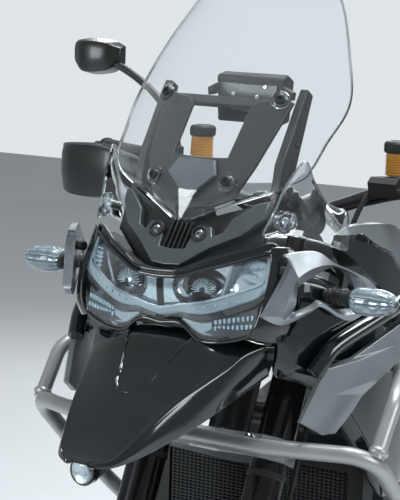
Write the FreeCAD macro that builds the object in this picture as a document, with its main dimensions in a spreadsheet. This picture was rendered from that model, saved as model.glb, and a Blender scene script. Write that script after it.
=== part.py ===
"""Adventure motorcycle on its centre stand, built as separate named pieces.

Frame: +X forward, +Y to the rider's left, +Z up, millimetres. The origin is on the
floor, midway between the axles. The front wheel stands on the floor, the rear wheel
hangs clear and the centre stand carries the rest.
"""
import FreeCAD, Part
import math
import os
import Sketcher
from FreeCAD import Placement, Rotation, Vector
from types import SimpleNamespace

doc = FreeCAD.newDocument("adventure_motorcycle")

# Driving dimensions: alias, value in millimetres or degrees, what it sets.
DIMENSIONS = [
    ("wheelbase", 1520, "distance between the axles"),
    ("rake", 23.2, "steering axis from the vertical, degrees"),
    ("trail", 100, "steering axis ahead of the front contact, on the floor"),
    ("front_tyre_radius", 325, "outer radius of the front tyre"),
    ("front_tyre_width", 120, "section width of the front tyre"),
    ("front_bead_radius", 241, "bead seat of the front rim"),
    ("front_rim_half", 46, "half width of the front rim"),
    ("rear_tyre_radius", 318, "outer radius of the rear tyre"),
    ("rear_tyre_width", 170, "section width of the rear tyre"),
    ("rear_bead_radius", 216, "bead seat of the rear rim"),
    ("rear_rim_half", 64, "half width of the rear rim"),
    ("rear_lift", 20, "gap under the rear tyre on the centre stand"),
    ("spoke_radius", 2.2, "wire spoke"),
    ("front_disc_radius", 152.5, "front brake disc"),
    ("rear_disc_radius", 141, "rear brake disc"),
    ("disc_thickness", 5, "brake disc"),
    ("front_disc_offset", 68, "middle of a front disc from the wheel's middle"),
    ("rear_disc_offset", 76, "middle of the rear disc from the wheel's middle"),
    ("axle_radius", 12, "front and rear axle"),
    ("hub_radius", 42, "spoke flange of a hub"),
    ("fork_half_track", 107, "fork leg from the middle"),
    ("fork_offset", 36, "fork legs ahead of the steering axis"),
    ("stanchion_radius", 24, "inner fork tube"),
    ("fork_tube_radius", 29, "outer fork tube"),
    ("fork_reveal", 13, "top of the legs above the upper yoke"),
    ("lower_yoke_height", 470, "underside of the lower yoke above the axle, along the fork"),
    ("lower_yoke_thickness", 34, "lower yoke"),
    ("upper_yoke_height", 738, "underside of the upper yoke above the axle, along the fork"),
    ("upper_yoke_thickness", 24, "upper yoke"),
    ("stem_radius", 17, "steering stem"),
    ("head_tube_radius", 31, "outside of the head tube"),
    ("running_gap", 0.3, "radial clearance of a turning fit"),
    ("bar_radius", 11, "handlebar tube"),
    ("bar_rise", 103.2, "middle of the handlebar above the upper yoke, along the steering axis"),
    ("yoke_gap", 8, "head tube short of the upper yoke"),
    ("grip_radius", 17, "handlebar grip"),
    ("bar_half_width", 455, "handlebar end from the middle"),
    ("spar_radius", 17, "main frame tube"),
    ("stay_radius", 12, "subframe tube"),
    ("plate_inner", 120, "inside of the swingarm pivot plates"),
    ("plate_thickness", 18, "swingarm pivot plates"),
    ("pivot_x", -255, "swingarm pivot"),
    ("pivot_z", 400, "swingarm pivot"),
    ("crash_bar_radius", 12.5, "crash bar tube"),
    ("stand_pivot_x", -245, "centre stand pivot"),
    ("stand_pivot_z", 290, "centre stand pivot"),
    ("stand_pin_radius", 8, "centre stand pivot pin"),
    ("stand_foot_x", -222, "middle of the centre stand's feet"),
    ("stand_foot_y", 168, "middle of a centre stand foot from the middle"),
    ("stand_tube_radius", 12, "centre stand leg"),
    ("side_stand_x", -30, "side stand pivot"),
    ("side_stand_z", 292, "side stand pivot"),
    ("side_stand_length", 242, "side stand pivot to foot"),
    ("crankcase_half", 150, "half width of the crankcase"),
    ("gearbox_half", 104, "half width of the gearbox"),
    ("cylinder_half", 150, "half width of the cylinder block and head"),
    ("header_radius", 18, "exhaust header pipe"),
    ("silencer_length", 430, "silencer"),
    ("radiator_half", 190, "half width of the radiator"),
    ("radiator_depth", 32, "radiator"),
    ("peg_length", 90, "footpeg"),
    ("cap_radius", 38, "fuel filler cap"),
    ("screen_thickness", 4, "windscreen"),
    ("lens_thickness", 4, "headlamp lens"),
    ("panel_thickness", 10, "wing panels beside the headlamp"),
    ("indicator_length", 62, "lens of an indicator"),
    ("spot_lamp_radius", 22, "spot lamp"),
    ("mirror_half", 48, "half length of a mirror's head"),
    ("rack_thickness", 12, "luggage rack plate"),
    ("rack_hole_radius", 3.3, "bolt hole in the luggage rack"),
    ("rack_hole_pitch_x", 120, "bolt holes of the luggage rack, front to back"),
    ("rack_hole_pitch_y", 120, "bolt holes of the luggage rack, side to side"),
    ("number_plate_width", 200, "blank number plate"),
    ("number_plate_height", 150, "blank number plate"),
    ("hose_radius", 4, "front brake hose"),
]


class Size:
    """A length with its value and with its expression in the sheet's cells."""

    def __init__(self, value, text):
        self.value = float(value)
        self.text = text

    def __add__(self, other):
        other = as_size(other)
        return Size(self.value + other.value, f"({self.text} + {other.text})")

    def __sub__(self, other):
        other = as_size(other)
        return Size(self.value - other.value, f"({self.text} - {other.text})")

    def __mul__(self, other):
        other = as_size(other)
        return Size(self.value * other.value, f"({self.text} * {other.text})")

    def __truediv__(self, other):
        other = as_size(other)
        return Size(self.value / other.value, f"({self.text} / {other.text})")

    def __neg__(self):
        return Size(-self.value, f"(0 - {self.text})")

    def __radd__(self, other):
        return as_size(other) + self

    def __rsub__(self, other):
        return as_size(other) - self

    __rmul__ = __mul__

    def __float__(self):
        return self.value


def as_size(number):
    return number if isinstance(number, Size) else Size(number, f"({float(number)!r})")


def fill_sheet():
    """Write the driving dimensions into the sheet and hand them back by name."""
    sheet = doc.addObject("Spreadsheet::Sheet", "dims")
    named = SimpleNamespace()
    for row, (alias, value, note) in enumerate(DIMENSIONS, start=1):
        sheet.set(f"A{row}", alias)
        sheet.set(f"B{row}", str(value))
        sheet.setAlias(f"B{row}", alias)
        sheet.set(f"C{row}", note)
        setattr(named, alias, Size(value, f"dims.{alias}"))
    doc.recompute()
    return named


dims = fill_sheet()

# Places that follow from the driving dimensions.
COS_RAKE = Size(math.cos(math.radians(dims.rake.value)), "cos(dims.rake)")
SIN_RAKE = Size(math.sin(math.radians(dims.rake.value)), "sin(dims.rake)")
FRONT_AXLE_X = dims.wheelbase / 2
REAR_AXLE_X = -dims.wheelbase / 2
FRONT_AXLE_Z = dims.front_tyre_radius
REAR_AXLE_Z = dims.rear_tyre_radius + dims.rear_lift
STEER_X = FRONT_AXLE_X - dims.fork_offset * COS_RAKE
STEER_Z = FRONT_AXLE_Z - dims.fork_offset * SIN_RAKE
SIDES = (("left", 1), ("right", -1))


def steering_point(ahead, side, along):
    """World point from the steering frame: ahead of the axis, to the left, up the axis."""
    ahead, along = as_size(ahead), as_size(along)
    x = STEER_X + ahead * COS_RAKE - along * SIN_RAKE
    z = STEER_Z + ahead * SIN_RAKE + along * COS_RAKE
    return (x, side, z)


def at_bar(ahead, side, up):
    """World point from the handlebar's middle."""
    x, _, z = steering_point(0, 0, dims.upper_yoke_height + dims.upper_yoke_thickness + dims.bar_rise)
    return (x + ahead, side, z + up)


def bind(item, prop, size):
    """Set a property and tie it to the sheet when it depends on a cell."""
    size = as_size(size)
    item.setExpression(prop, size.text)


def vector(point):
    return Vector(*(float(c) for c in point))


def place(item, point, axis=None, angle=None):
    """Give an object its place, tied to the sheet, and an optional turn."""
    turn = Rotation(Vector(*axis), float(angle)) if axis else Rotation()
    item.Placement = Placement(vector(point), turn)
    for letter, coordinate in zip("xyz", point):
        bind(item, f"Placement.Base.{letter}", coordinate)
    if axis:
        bind(item, "Placement.Rotation.Angle", angle)
    return item


def place_on_steering(item):
    return place(item, (STEER_X, 0, STEER_Z), (0, 1, 0), -dims.rake)


def new_body(name):
    body = doc.addObject("PartDesign::Body", name)
    body.Label = name
    return body


def origin_item(body, role):
    return [item for item in body.Origin.OriginFeatures if item.Role == role][0]


def sketch(body, plane, offset, points, name="outline"):
    """A closed outline of straight edges, each corner dimensioned from the origin."""
    item = body.newObject("Sketcher::SketchObject", name)
    item.AttachmentSupport = [(origin_item(body, plane), "")]
    item.MapMode = "FlatFace"
    item.AttachmentOffset = Placement(Vector(0, 0, float(offset)), Rotation())
    bind(item, "AttachmentOffset.Base.z", offset)
    corners = [Vector(float(a), float(b), 0) for a, b in points]
    count = len(corners)
    for i in range(count):
        item.addGeometry(Part.LineSegment(corners[i], corners[(i + 1) % count]))
    item.addConstraint([Sketcher.Constraint("Coincident", i, 2, (i + 1) % count, 1) for i in range(count)])
    for i, point in enumerate(points):
        for kind, axis_line, coordinate in (("DistanceX", -2, point[0]), ("DistanceY", -1, point[1])):
            size = as_size(coordinate)
            if abs(size.value) < 1e-9:
                item.addConstraint(Sketcher.Constraint("PointOnObject", i, 1, axis_line))
                continue
            index = item.addConstraint(Sketcher.Constraint(kind, -1, 1, i, 1, size.value))
            if "dims." in size.text:
                item.setExpression(f"Constraints[{index}]", size.text)
    return item


def circle_sketch(body, plane, offset, centre, radius, name="circle"):
    item = body.newObject("Sketcher::SketchObject", name)
    item.AttachmentSupport = [(origin_item(body, plane), "")]
    item.MapMode = "FlatFace"
    item.AttachmentOffset = Placement(Vector(0, 0, float(offset)), Rotation())
    bind(item, "AttachmentOffset.Base.z", offset)
    middle = Vector(float(centre[0]), float(centre[1]), 0)
    item.addGeometry(Part.Circle(middle, Vector(0, 0, 1), float(radius)))
    index = item.addConstraint(Sketcher.Constraint("Radius", 0, float(radius)))
    bind(item, f"Constraints[{index}]", radius)
    for kind, axis_line, coordinate in (("DistanceX", -2, centre[0]), ("DistanceY", -1, centre[1])):
        size = as_size(coordinate)
        if abs(size.value) < 1e-9:
            item.addConstraint(Sketcher.Constraint("PointOnObject", 0, 3, axis_line))
            continue
        index = item.addConstraint(Sketcher.Constraint(kind, -1, 1, 0, 3, size.value))
        bind(item, f"Constraints[{index}]", size)
    return item


def pad(body, profile, length, name="pad"):
    item = body.newObject("PartDesign::Pad", name)
    item.Profile = profile
    item.Length = float(length)
    bind(item, "Length", length)
    return item


def side_pad(body, points, right, left, name="pad"):
    """Pad a side outline, (x, z) points, across from y = right to y = left."""
    right, left = as_size(right), as_size(left)
    return pad(body, sketch(body, "XZ_Plane", -left, points), left - right, name)


def side_disc(body, centre, radius, right, left, name="disc"):
    right, left = as_size(right), as_size(left)
    return pad(body, circle_sketch(body, "XZ_Plane", -left, centre, radius), left - right, name)


def pocket_all(body, profile, name="pocket"):
    item = body.newObject("PartDesign::Pocket", name)
    item.Profile = profile
    item.Type = "ThroughAll"
    item.Midplane = True
    return item


def revolve(body, plane, points, angle=360, name="revolve"):
    """Turn an outline, (radius, along) points, about the sketch's vertical axis."""
    item = body.newObject("PartDesign::Revolution", name)
    outline = sketch(body, plane, 0, points)
    item.Profile = outline
    item.ReferenceAxis = (outline, ["V_Axis"])
    item.Angle = angle
    return item


def loft(body, plane, sections, subtract=False, name="loft"):
    """Loft through (offset, points) sections on parallel planes."""
    kind = "PartDesign::SubtractiveLoft" if subtract else "PartDesign::AdditiveLoft"
    profiles = [sketch(body, plane, offset, points, "section") for offset, points in sections]
    item = body.newObject(kind, name)
    item.Profile = profiles[0]
    item.Sections = profiles[1:]
    item.Ruled = True
    return item


def path_wire(points, bend):
    """Straight runs joined by tangent arcs; bend is the arcs' radius, or less where runs are short."""
    knots = [vector(p) for p in points]
    edges = []
    start = knots[0]
    for before, knot, after in zip(knots, knots[1:], knots[2:]):
        back = (before - knot).normalize()
        ahead = (after - knot).normalize()
        half_turn = (math.pi - back.getAngle(ahead)) / 2
        reach = 0.45 * min((before - knot).Length, (after - knot).Length)
        radius = min(float(bend), reach / math.tan(half_turn))
        trim = radius * math.tan(half_turn)
        middle_way = (back + ahead).normalize()
        centre = knot + middle_way * (radius / math.cos(half_turn))
        first, last = knot + back * trim, knot + ahead * trim
        middle = centre - middle_way * radius
        edges.append(Part.LineSegment(start, first).toShape())
        edges.append(Part.Arc(first, middle, last).toShape())
        start = last
    edges.append(Part.LineSegment(start, knots[-1]).toShape())
    return Part.Wire(edges)


def tube(name, points, radius, bend=60):
    """A round bar swept along a bent path."""
    path = path_wire(points, bend)
    start, way = vector(points[0]), vector(points[1]) - vector(points[0])
    ring = Part.Wire([Part.Circle(start, way, float(radius)).toShape()])
    item = doc.addObject("Part::Feature", name)
    item.Label = name
    item.Shape = path.makePipeShell([ring], True, False)
    item.Placement = Placement()
    return item


def cylinder(name, start, direction, radius, length):
    """A Part cylinder from a point along a direction."""
    item = doc.addObject("Part::Cylinder", name)
    item.Label = name
    item.Placement = Placement(vector(start), Rotation(Vector(0, 0, 1), Vector(*direction)))
    for letter, coordinate in zip("xyz", start):
        bind(item, f"Placement.Base.{letter}", coordinate)
    bind(item, "Radius", radius)
    bind(item, "Height", length)
    return item


def box(name, low, high):
    item = doc.addObject("Part::Box", name)
    item.Label = name
    sizes = [as_size(b) - as_size(a) for a, b in zip(low, high)]
    for prop, size in zip(("Length", "Width", "Height"), sizes):
        bind(item, prop, size)
    return place(item, low)


def fuse(name, items):
    item = doc.addObject("Part::MultiFuse", name)
    item.Label = name
    item.Shapes = items
    return item


def cut(name, base, tool):
    item = doc.addObject("Part::Cut", name)
    item.Label = name
    item.Base = base
    item.Tool = tool
    return item


def gather(name, items):
    """Like pieces on one body, as separate solids of one node."""
    item = doc.addObject("Part::Compound", name)
    item.Label = name
    item.Links = items
    return item


def both(points, side):
    """Points written for the left side, turned to the given side."""
    return [(x, as_size(y) * side, z) for x, y, z in points]


def ring_section(half_low, z_low, half_wide, z_wide, half_top, z_top):
    """A six-cornered section, the same on both sides: floor, widest line and top."""
    left = [(half_low, z_low), (half_wide, z_wide), (half_top, z_top)]
    right = [(-as_size(y), z) for y, z in reversed(left)]
    return left + right


def symmetric_loft(name, table):
    """Loft along X through rows of x, half_low, z_low, half_wide, z_wide, half_top, z_top."""
    body = new_body(name)
    loft(body, "YZ_Plane", [(row[0], ring_section(*row[1:])) for row in table])
    return body


def cross_loft(name, sections):
    """Loft along Y through rows of y and (x, z) corners, written for the left half."""
    rows = [(-y, points) for y, points in reversed(sections) if y > 0] + list(sections)
    body = new_body(name)
    loft(body, "XZ_Plane", [(-as_size(y), points) for y, points in rows])
    return body


# Wheels

def spoked_rim(name, bead_radius, half_width, hub_half, spoke_count, axle_x, axle_z, hub_shift=0):
    """A rim, its hub and the crossed wire spokes between them, as one solid."""
    rim = new_body(f"{name}_rim")
    well = bead_radius - 17
    lip = bead_radius + 9
    revolve(rim, "XY_Plane", [
        (well - 5, -half_width * 0.35), (bead_radius - 5, -half_width + 6), (bead_radius - 4, -half_width),
        (lip, -half_width), (lip, -half_width + 3), (bead_radius, -half_width + 3), (well, -half_width * 0.3),
        (well, half_width * 0.3), (bead_radius, half_width - 3), (lip, half_width - 3), (lip, half_width),
        (bead_radius - 4, half_width), (bead_radius - 5, half_width - 6), (well - 5, half_width * 0.35)])
    hub = new_body(f"{name}_hub")
    bore = dims.axle_radius + dims.running_gap
    revolve(hub, "XY_Plane", [
        (bore, hub_shift - hub_half), (dims.hub_radius - 10, hub_shift - hub_half),
        (dims.hub_radius - 10, -hub_half * 0.8), (dims.hub_radius, -hub_half * 0.8),
        (dims.hub_radius, -hub_half * 0.66), (dims.hub_radius - 14, -hub_half * 0.5),
        (dims.hub_radius - 14, hub_half * 0.5), (dims.hub_radius, hub_half * 0.66),
        (dims.hub_radius, hub_half * 0.8), (dims.hub_radius - 10, hub_half * 0.8),
        (dims.hub_radius - 10, hub_half), (bore, hub_half)])
    spokes = []
    for i in range(spoke_count):
        side = 1 if i % 2 else -1
        lean = 1 if i % 4 < 2 else -1
        rim_turn = 2 * math.pi * i / spoke_count
        hub_turn = rim_turn + lean * math.radians(58)
        inner = Vector(math.cos(hub_turn) * (dims.hub_radius.value - 4), side * float(hub_half) * 0.73,
                       math.sin(hub_turn) * (dims.hub_radius.value - 4))
        reach = float(well) - 1
        outer = Vector(math.cos(rim_turn) * reach, side * float(half_width) * 0.12, math.sin(rim_turn) * reach)
        spoke = doc.addObject("Part::Prism", f"{name}_spoke")
        spoke.Polygon = 6
        bind(spoke, "Circumradius", dims.spoke_radius)
        spoke.Height = (outer - inner).Length
        spoke.Placement = Placement(inner, Rotation(Vector(0, 0, 1), outer - inner))
        spokes.append(spoke)
    wheel = fuse(name, [rim, hub] + spokes)
    return place(wheel, (axle_x, 0, axle_z))


def tyre(name, radius, width, bead_radius, half_width, axle_x, axle_z):
    """Tyre: a round crown, shoulders, side walls and beads seated on the rim."""
    body = new_body(name)
    half = width / 2
    inner = bead_radius + 0.3
    wall = half_width - 3.3
    revolve(body, "XY_Plane", [
        (inner, -wall), (lip_radius(bead_radius), -wall), (bead_radius + 30, -half + 2), (radius - 36, -half),
        (radius - 16, -half * 0.78), (radius - 4, -half * 0.4), (radius, 0), (radius - 4, half * 0.4),
        (radius - 16, half * 0.78), (radius - 36, half), (bead_radius + 30, half - 2),
        (lip_radius(bead_radius), wall), (inner, wall), (inner, half_width - 8),
        (bead_radius + 14, half_width - 16), (bead_radius + 30, half - 16), (radius - 40, half - 14),
        (radius - 16, 0), (radius - 40, -half + 14), (bead_radius + 30, -half + 16),
        (bead_radius + 14, -half_width + 16), (inner, -half_width + 8)])
    return place(body, (axle_x, 0, axle_z))


def lip_radius(bead_radius):
    return bead_radius + 9


def brake_disc(name, radius, inner_radius, middle, axle_x, axle_z):
    """A drilled disc on its carrier, as one flat ring with windows."""
    body = new_body(name)
    low = as_size(middle) - dims.disc_thickness / 2
    high = as_size(middle) + dims.disc_thickness / 2
    revolve(body, "XY_Plane", [(inner_radius, low), (radius, low), (radius, high), (inner_radius, high)])
    waist = inner_radius + (radius - inner_radius) * 0.36
    window = [(waist, -9), (waist + 12, -14), (waist + 12, 14), (waist, 9)]
    opening = pocket_all(body, sketch(body, "XZ_Plane", -as_size(middle), window, "window"), "window_cut")
    pattern = body.newObject("PartDesign::PolarPattern", "windows")
    pattern.Originals = [opening]
    pattern.Axis = (origin_item(body, "Y_Axis"), [""])
    pattern.Angle = 360
    pattern.Occurrences = 8
    body.Tip = pattern
    return place(body, (axle_x, 0, axle_z))


def front_wheel():
    spoked_rim("front_rim", dims.front_bead_radius, dims.front_rim_half, as_size(62), 32,
               FRONT_AXLE_X, FRONT_AXLE_Z)
    tyre("front_tyre", dims.front_tyre_radius, dims.front_tyre_width, dims.front_bead_radius,
         dims.front_rim_half, FRONT_AXLE_X, FRONT_AXLE_Z)
    inner = dims.hub_radius - 10
    discs = [brake_disc(f"front_disc_{name}", dims.front_disc_radius, inner + 0.2,
                        dims.front_disc_offset * side - side * 9, FRONT_AXLE_X, FRONT_AXLE_Z)
             for name, side in SIDES]
    return gather("front_discs", discs)


def rear_wheel():
    spoked_rim("rear_rim", dims.rear_bead_radius, dims.rear_rim_half, as_size(62), 32,
               REAR_AXLE_X, REAR_AXLE_Z, hub_shift=-26)
    tyre("rear_tyre", dims.rear_tyre_radius, dims.rear_tyre_width, dims.rear_bead_radius,
         dims.rear_rim_half, REAR_AXLE_X, REAR_AXLE_Z)
    brake_disc("rear_disc", dims.rear_disc_radius, dims.hub_radius - 9.8, -dims.rear_disc_offset,
               REAR_AXLE_X, REAR_AXLE_Z)


# Fork and steering

def fork_legs():
    """Two upside-down legs: outer tube above, bright tube and axle foot below, and the axle."""
    parts = []
    top = dims.upper_yoke_height + dims.upper_yoke_thickness + dims.fork_reveal
    for name, side in SIDES:
        leg = new_body(f"fork_leg_{name}")
        revolve(leg, "XZ_Plane", [
            (0, -34), (22, -34), (30, -20), (30, 30), (27, 62), (dims.stanchion_radius, 66),
            (dims.stanchion_radius, 262), (dims.fork_tube_radius, 264), (dims.fork_tube_radius, 440),
            (dims.fork_tube_radius - 1, top - 6), (dims.fork_tube_radius - 7, top), (0, top)])
        place(leg, steering_point(dims.fork_offset, dims.fork_half_track * side, 0), (0, 1, 0), -dims.rake)
        parts.append(leg)
        ear = new_body(f"mudguard_ear_{name}")
        gap = dims.front_tyre_width / 2 + 10
        near, far = (gap, dims.fork_half_track - 20) if side > 0 else (20 - dims.fork_half_track, -gap)
        side_pad(ear, [(14, 296), (46, 296), (46, 330), (14, 330)], near, far)
        parts.append(place_on_steering(ear))
        lug = new_body(f"caliper_lug_{name}")
        near, far = (dims.fork_half_track - 24, dims.fork_half_track - 8)
        if side < 0:
            near, far = -far, -near
        side_pad(lug, [(20, 10), (36, 6), (36, 90), (16, 88), (-18, 84), (-18, 58), (6, 44)], near, far)
        parts.append(place_on_steering(lug))
    axle = cylinder("front_axle", (FRONT_AXLE_X, -dims.fork_half_track, FRONT_AXLE_Z), (0, 1, 0),
                    dims.axle_radius, dims.fork_half_track * 2)
    return fuse("fork_legs", parts + [axle])


def yoke_outline(reach_back, reach_front, width):
    """Plan of a yoke: two clamp eyes and the waist between them, (ahead, side) corners."""
    eye = dims.fork_tube_radius + 11
    return [
        (-reach_back, -24), (dims.fork_offset - 24, -width + 12), (dims.fork_offset - eye * 0.5, -width - eye * 0.72),
        (dims.fork_offset + eye * 0.45, -width - eye * 0.78), (dims.fork_offset + eye, -width),
        (dims.fork_offset + eye * 0.8, -width + eye * 0.72), (reach_front, -26), (reach_front, 26),
        (dims.fork_offset + eye * 0.8, width - eye * 0.72), (dims.fork_offset + eye, width),
        (dims.fork_offset + eye * 0.45, width + eye * 0.78), (dims.fork_offset - eye * 0.5, width + eye * 0.72),
        (dims.fork_offset - 24, width - 12), (-reach_back, 24)]


def yoke(name, height, thickness, reach_back, reach_front, stem):
    """A yoke clamped round both legs; the lower one carries the steering stem."""
    body = new_body(f"{name}_blank")
    pad(body, sketch(body, "XY_Plane", height, yoke_outline(reach_back, reach_front, dims.fork_half_track)),
        thickness)
    if stem:
        top = dims.upper_yoke_height
        pad(body, circle_sketch(body, "XY_Plane", height, (0, 0), dims.stem_radius), top - height, "stem")
    for _, side in SIDES:
        centre = (dims.fork_offset, dims.fork_half_track * side)
        pocket_all(body, circle_sketch(body, "XY_Plane", height, centre, dims.fork_tube_radius), "leg_bore")
    body.Label = name
    return place_on_steering(body)


def handlebar_points():
    """Centre line of the handlebar's left half, from the clamp out to its end."""
    return [at_bar(0, 0, 0), at_bar(0, 60, 0), at_bar(-14, 150, 36), at_bar(-34, 235, 52),
            at_bar(-124, dims.bar_half_width, 57)]


def handlebar(yoke_node):
    """Tapered-bend handlebar in one tube, with the two risers and clamps under it."""
    half = handlebar_points()
    points = [(x, -as_size(y), z) for x, y, z in reversed(half[1:])] + half[1:]
    pieces = [tube("handlebar_tube", points, dims.bar_radius, 70)]
    clamp_top = dims.upper_yoke_height + dims.upper_yoke_thickness
    for name, side in SIDES:
        foot = steering_point(-4, 34 * side, clamp_top)
        head = at_bar(0, 34 * side, 2)
        way = vector(head) - vector(foot)
        pieces.append(cylinder(f"riser_{name}", foot, tuple(way), 15, way.Length))
        clamp_start = at_bar(0, 34 * side - 14, 0)
        pieces.append(cylinder(f"bar_clamp_{name}", clamp_start, (0, 1, 0), 21, 28))
    return cut("handlebar", fuse("handlebar_solid", pieces), yoke_node)


def hand_controls(bar):
    """Grips, switch blocks, levers and the bar-end weights, bored for the handlebar."""
    pieces = []
    for name, side in SIDES:
        inner, outer = vector(both([at_bar(-34, 235, 52)], side)[0]), vector(both(handlebar_points(), side)[-1])
        way = (outer - inner).normalize()
        grip = cylinder(f"grip_{name}", inner + way * 82, tuple(way), dims.grip_radius, 128)
        switch = cylinder(f"switch_{name}", inner + way * 34, tuple(way), 23, 48)
        master = new_body(f"master_{name}")
        side_pad(master, [(-14, -14), (34, -10), (40, 12), (30, 20), (-14, 18)], -24, 24)
        place(master, at_bar(-24, 178 * side, 46))
        lever_path = both([at_bar(2, 186, 46), at_bar(16, 232, 44), at_bar(-14, 320, 40), at_bar(-48, 408, 42)], side)
        lever = tube(f"lever_{name}", lever_path, 6.5, 60)
        pieces += [fuse(f"grip_set_{name}", [grip, switch]), fuse(f"lever_set_{name}", [master, lever])]
    return cut("hand_controls", gather("hand_controls_blank", pieces), bar)


def fluid_reservoirs():
    """Brake and clutch reservoirs standing on the master cylinders."""
    pots = []
    for name, side in SIDES:
        pot = new_body(f"reservoir_{name}")
        revolve(pot, "XZ_Plane", [(0, 0), (16, 0), (18, 4), (18, 34), (21, 36), (21, 50), (18, 53), (0, 53)])
        pots.append(place(pot, at_bar(-32, 178 * side, 66.3)))
    return gather("fluid_reservoirs", pots)


def handguards(bar):
    """Handguards: a bent shell ahead of each grip, held at the bar's end and inboard."""
    guards = []
    for name, side in SIDES:
        shell = new_body(f"guard_shell_{name}")
        rows = [  # side, then from the bar's middle: back x, front x, low z, high z
            (262, 16, 22, 6, 62), (330, 22, 30, -10, 80), (410, 6, 15, -12, 76), (462, -44, -35, 0, 66),
            (486, -94, -86, 22, 58)]
        sections = [(side * -y, [(back, low), (front, low + 8), (front + 3, high - 12), (back, high)])
                    for y, back, front, low, high in rows]
        loft(shell, "XZ_Plane", sections)
        place(shell, at_bar(0, 0, 0))
        arm = [at_bar(-30, 222, 48), at_bar(-14, 232, 20), at_bar(18, 285, 18)]
        inner = tube(f"guard_arm_{name}", both(arm, side), 6, 25)
        end = [at_bar(-120, 449, 57), at_bar(-128, 478, 54), at_bar(-92, 484, 44)]
        outer = tube(f"guard_end_{name}", both(end, side), 7, 12)
        guards.append(fuse(f"handguard_{name}", [shell, inner, outer]))
    return cut("handguards", gather("handguards_blank", guards), bar)


def mirrors(bar):
    """Round stalk and an angular head on each side."""
    heads = []
    for name, side in SIDES:
        head = new_body(f"mirror_head_{name}")
        half = dims.mirror_half
        rows = [  # side from the head's middle, back x, front x, low z, high z
            (-half, -10, 8, -12, 20), (-half * 0.5, -12, 20, -26, 28),
            (half * 0.4, -12, 22, -30, 30), (half, -10, 6, -16, 26)]
        sections = [(-y * side, [(back, low), (front, low + 8), (front, high - 8), (back, high)])
                    for y, back, front, low, high in rows]
        loft(head, "XZ_Plane", sections)
        place(head, at_bar(-64, 412 * side, 216))
        path = [at_bar(-42, 232, 76), at_bar(-48, 246, 126), at_bar(-60, 330, 192), at_bar(-60, 392, 212)]
        stalk = tube(f"mirror_stalk_{name}", both(path, side), 6, 50)
        foot = cylinder(f"mirror_foot_{name}", at_bar(-41, 231 * side, 51), (0, 0, 1), 9, 30)
        heads.append(fuse(f"mirror_{name}", [head, stalk, foot]))
    return cut("mirrors", gather("mirrors_blank", heads), bar)


def front_mudguard():
    """A channel over the front tyre, held by the fork's ears."""
    body = new_body("front_mudguard")
    reach = dims.front_tyre_radius
    half = dims.front_tyre_width / 2
    revolve(body, "XY_Plane", [
        (reach - 22, -half - 9.7), (reach + 18, -half - 9.7), (reach + 27, -half + 8), (reach + 27, half - 8),
        (reach + 18, half + 9.7), (reach - 22, half + 9.7), (reach - 22, half + 6), (reach + 12, half + 6),
        (reach + 20, half - 12), (reach + 20, -half + 12), (reach + 12, -half - 6), (reach - 22, -half - 6)],
        angle=118)
    return place(body, (FRONT_AXLE_X, 0, FRONT_AXLE_Z), (0, 1, 0), -148)


def front_calipers():
    """Two-piece calipers behind the fork feet, slotted for the discs."""
    pair = []
    for name, side in SIDES:
        block = new_body(f"caliper_block_{name}")
        near, far = 40, dims.fork_half_track - 24.3
        if side < 0:
            near, far = -far, -near
        side_pad(block, [(-88, 40), (-74, 28), (-50, 36), (-18, 84), (-30, 132), (-62, 140), (-86, 112)], near, far)
        place_on_steering(block)
        slot = new_body(f"caliper_slot_{name}")
        middle = (dims.front_disc_offset - 9) * side
        reach = dims.front_disc_radius + 6
        room = dims.disc_thickness / 2 + 5.2
        side_disc(slot, (0, 0), reach, middle - room, middle + room)
        place(slot, (FRONT_AXLE_X, 0, FRONT_AXLE_Z))
        pair.append(cut(f"caliper_{name}", block, slot))
    return gather("front_calipers", pair)


def brake_hoses():
    """Front brake hoses down behind the legs, and the switch cables across to the yoke."""
    right = [at_bar(0, -150, 40), at_bar(34, -140, 2), steering_point(-8, -128, 742), steering_point(-9, -127, 620),
             steering_point(-9, -127, 470), steering_point(-12, -127, 330), steering_point(-30, -118, 210),
             steering_point(-52, -92, 146)]
    left = [at_bar(2, 150, 40), at_bar(38, 138, -2), steering_point(-8, 128, 730), steering_point(-9, 127, 610),
            steering_point(-9, 127, 460), steering_point(-12, 127, 320), steering_point(-30, 118, 206),
            steering_point(-52, 92, 146)]
    hoses = []
    for name, points in (("right", right), ("left", left)):
        hose = tube(f"hose_{name}", points, dims.hose_radius, 400)
        ideal = path_wire(points, 400).Length * math.pi * dims.hose_radius.value ** 2
        print("hose", name, "volume over section times length", round(hose.Shape.Volume / ideal, 4))
        hoses.append(hose)
    return gather("brake_hoses", hoses)


# Frame and running gear

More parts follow.
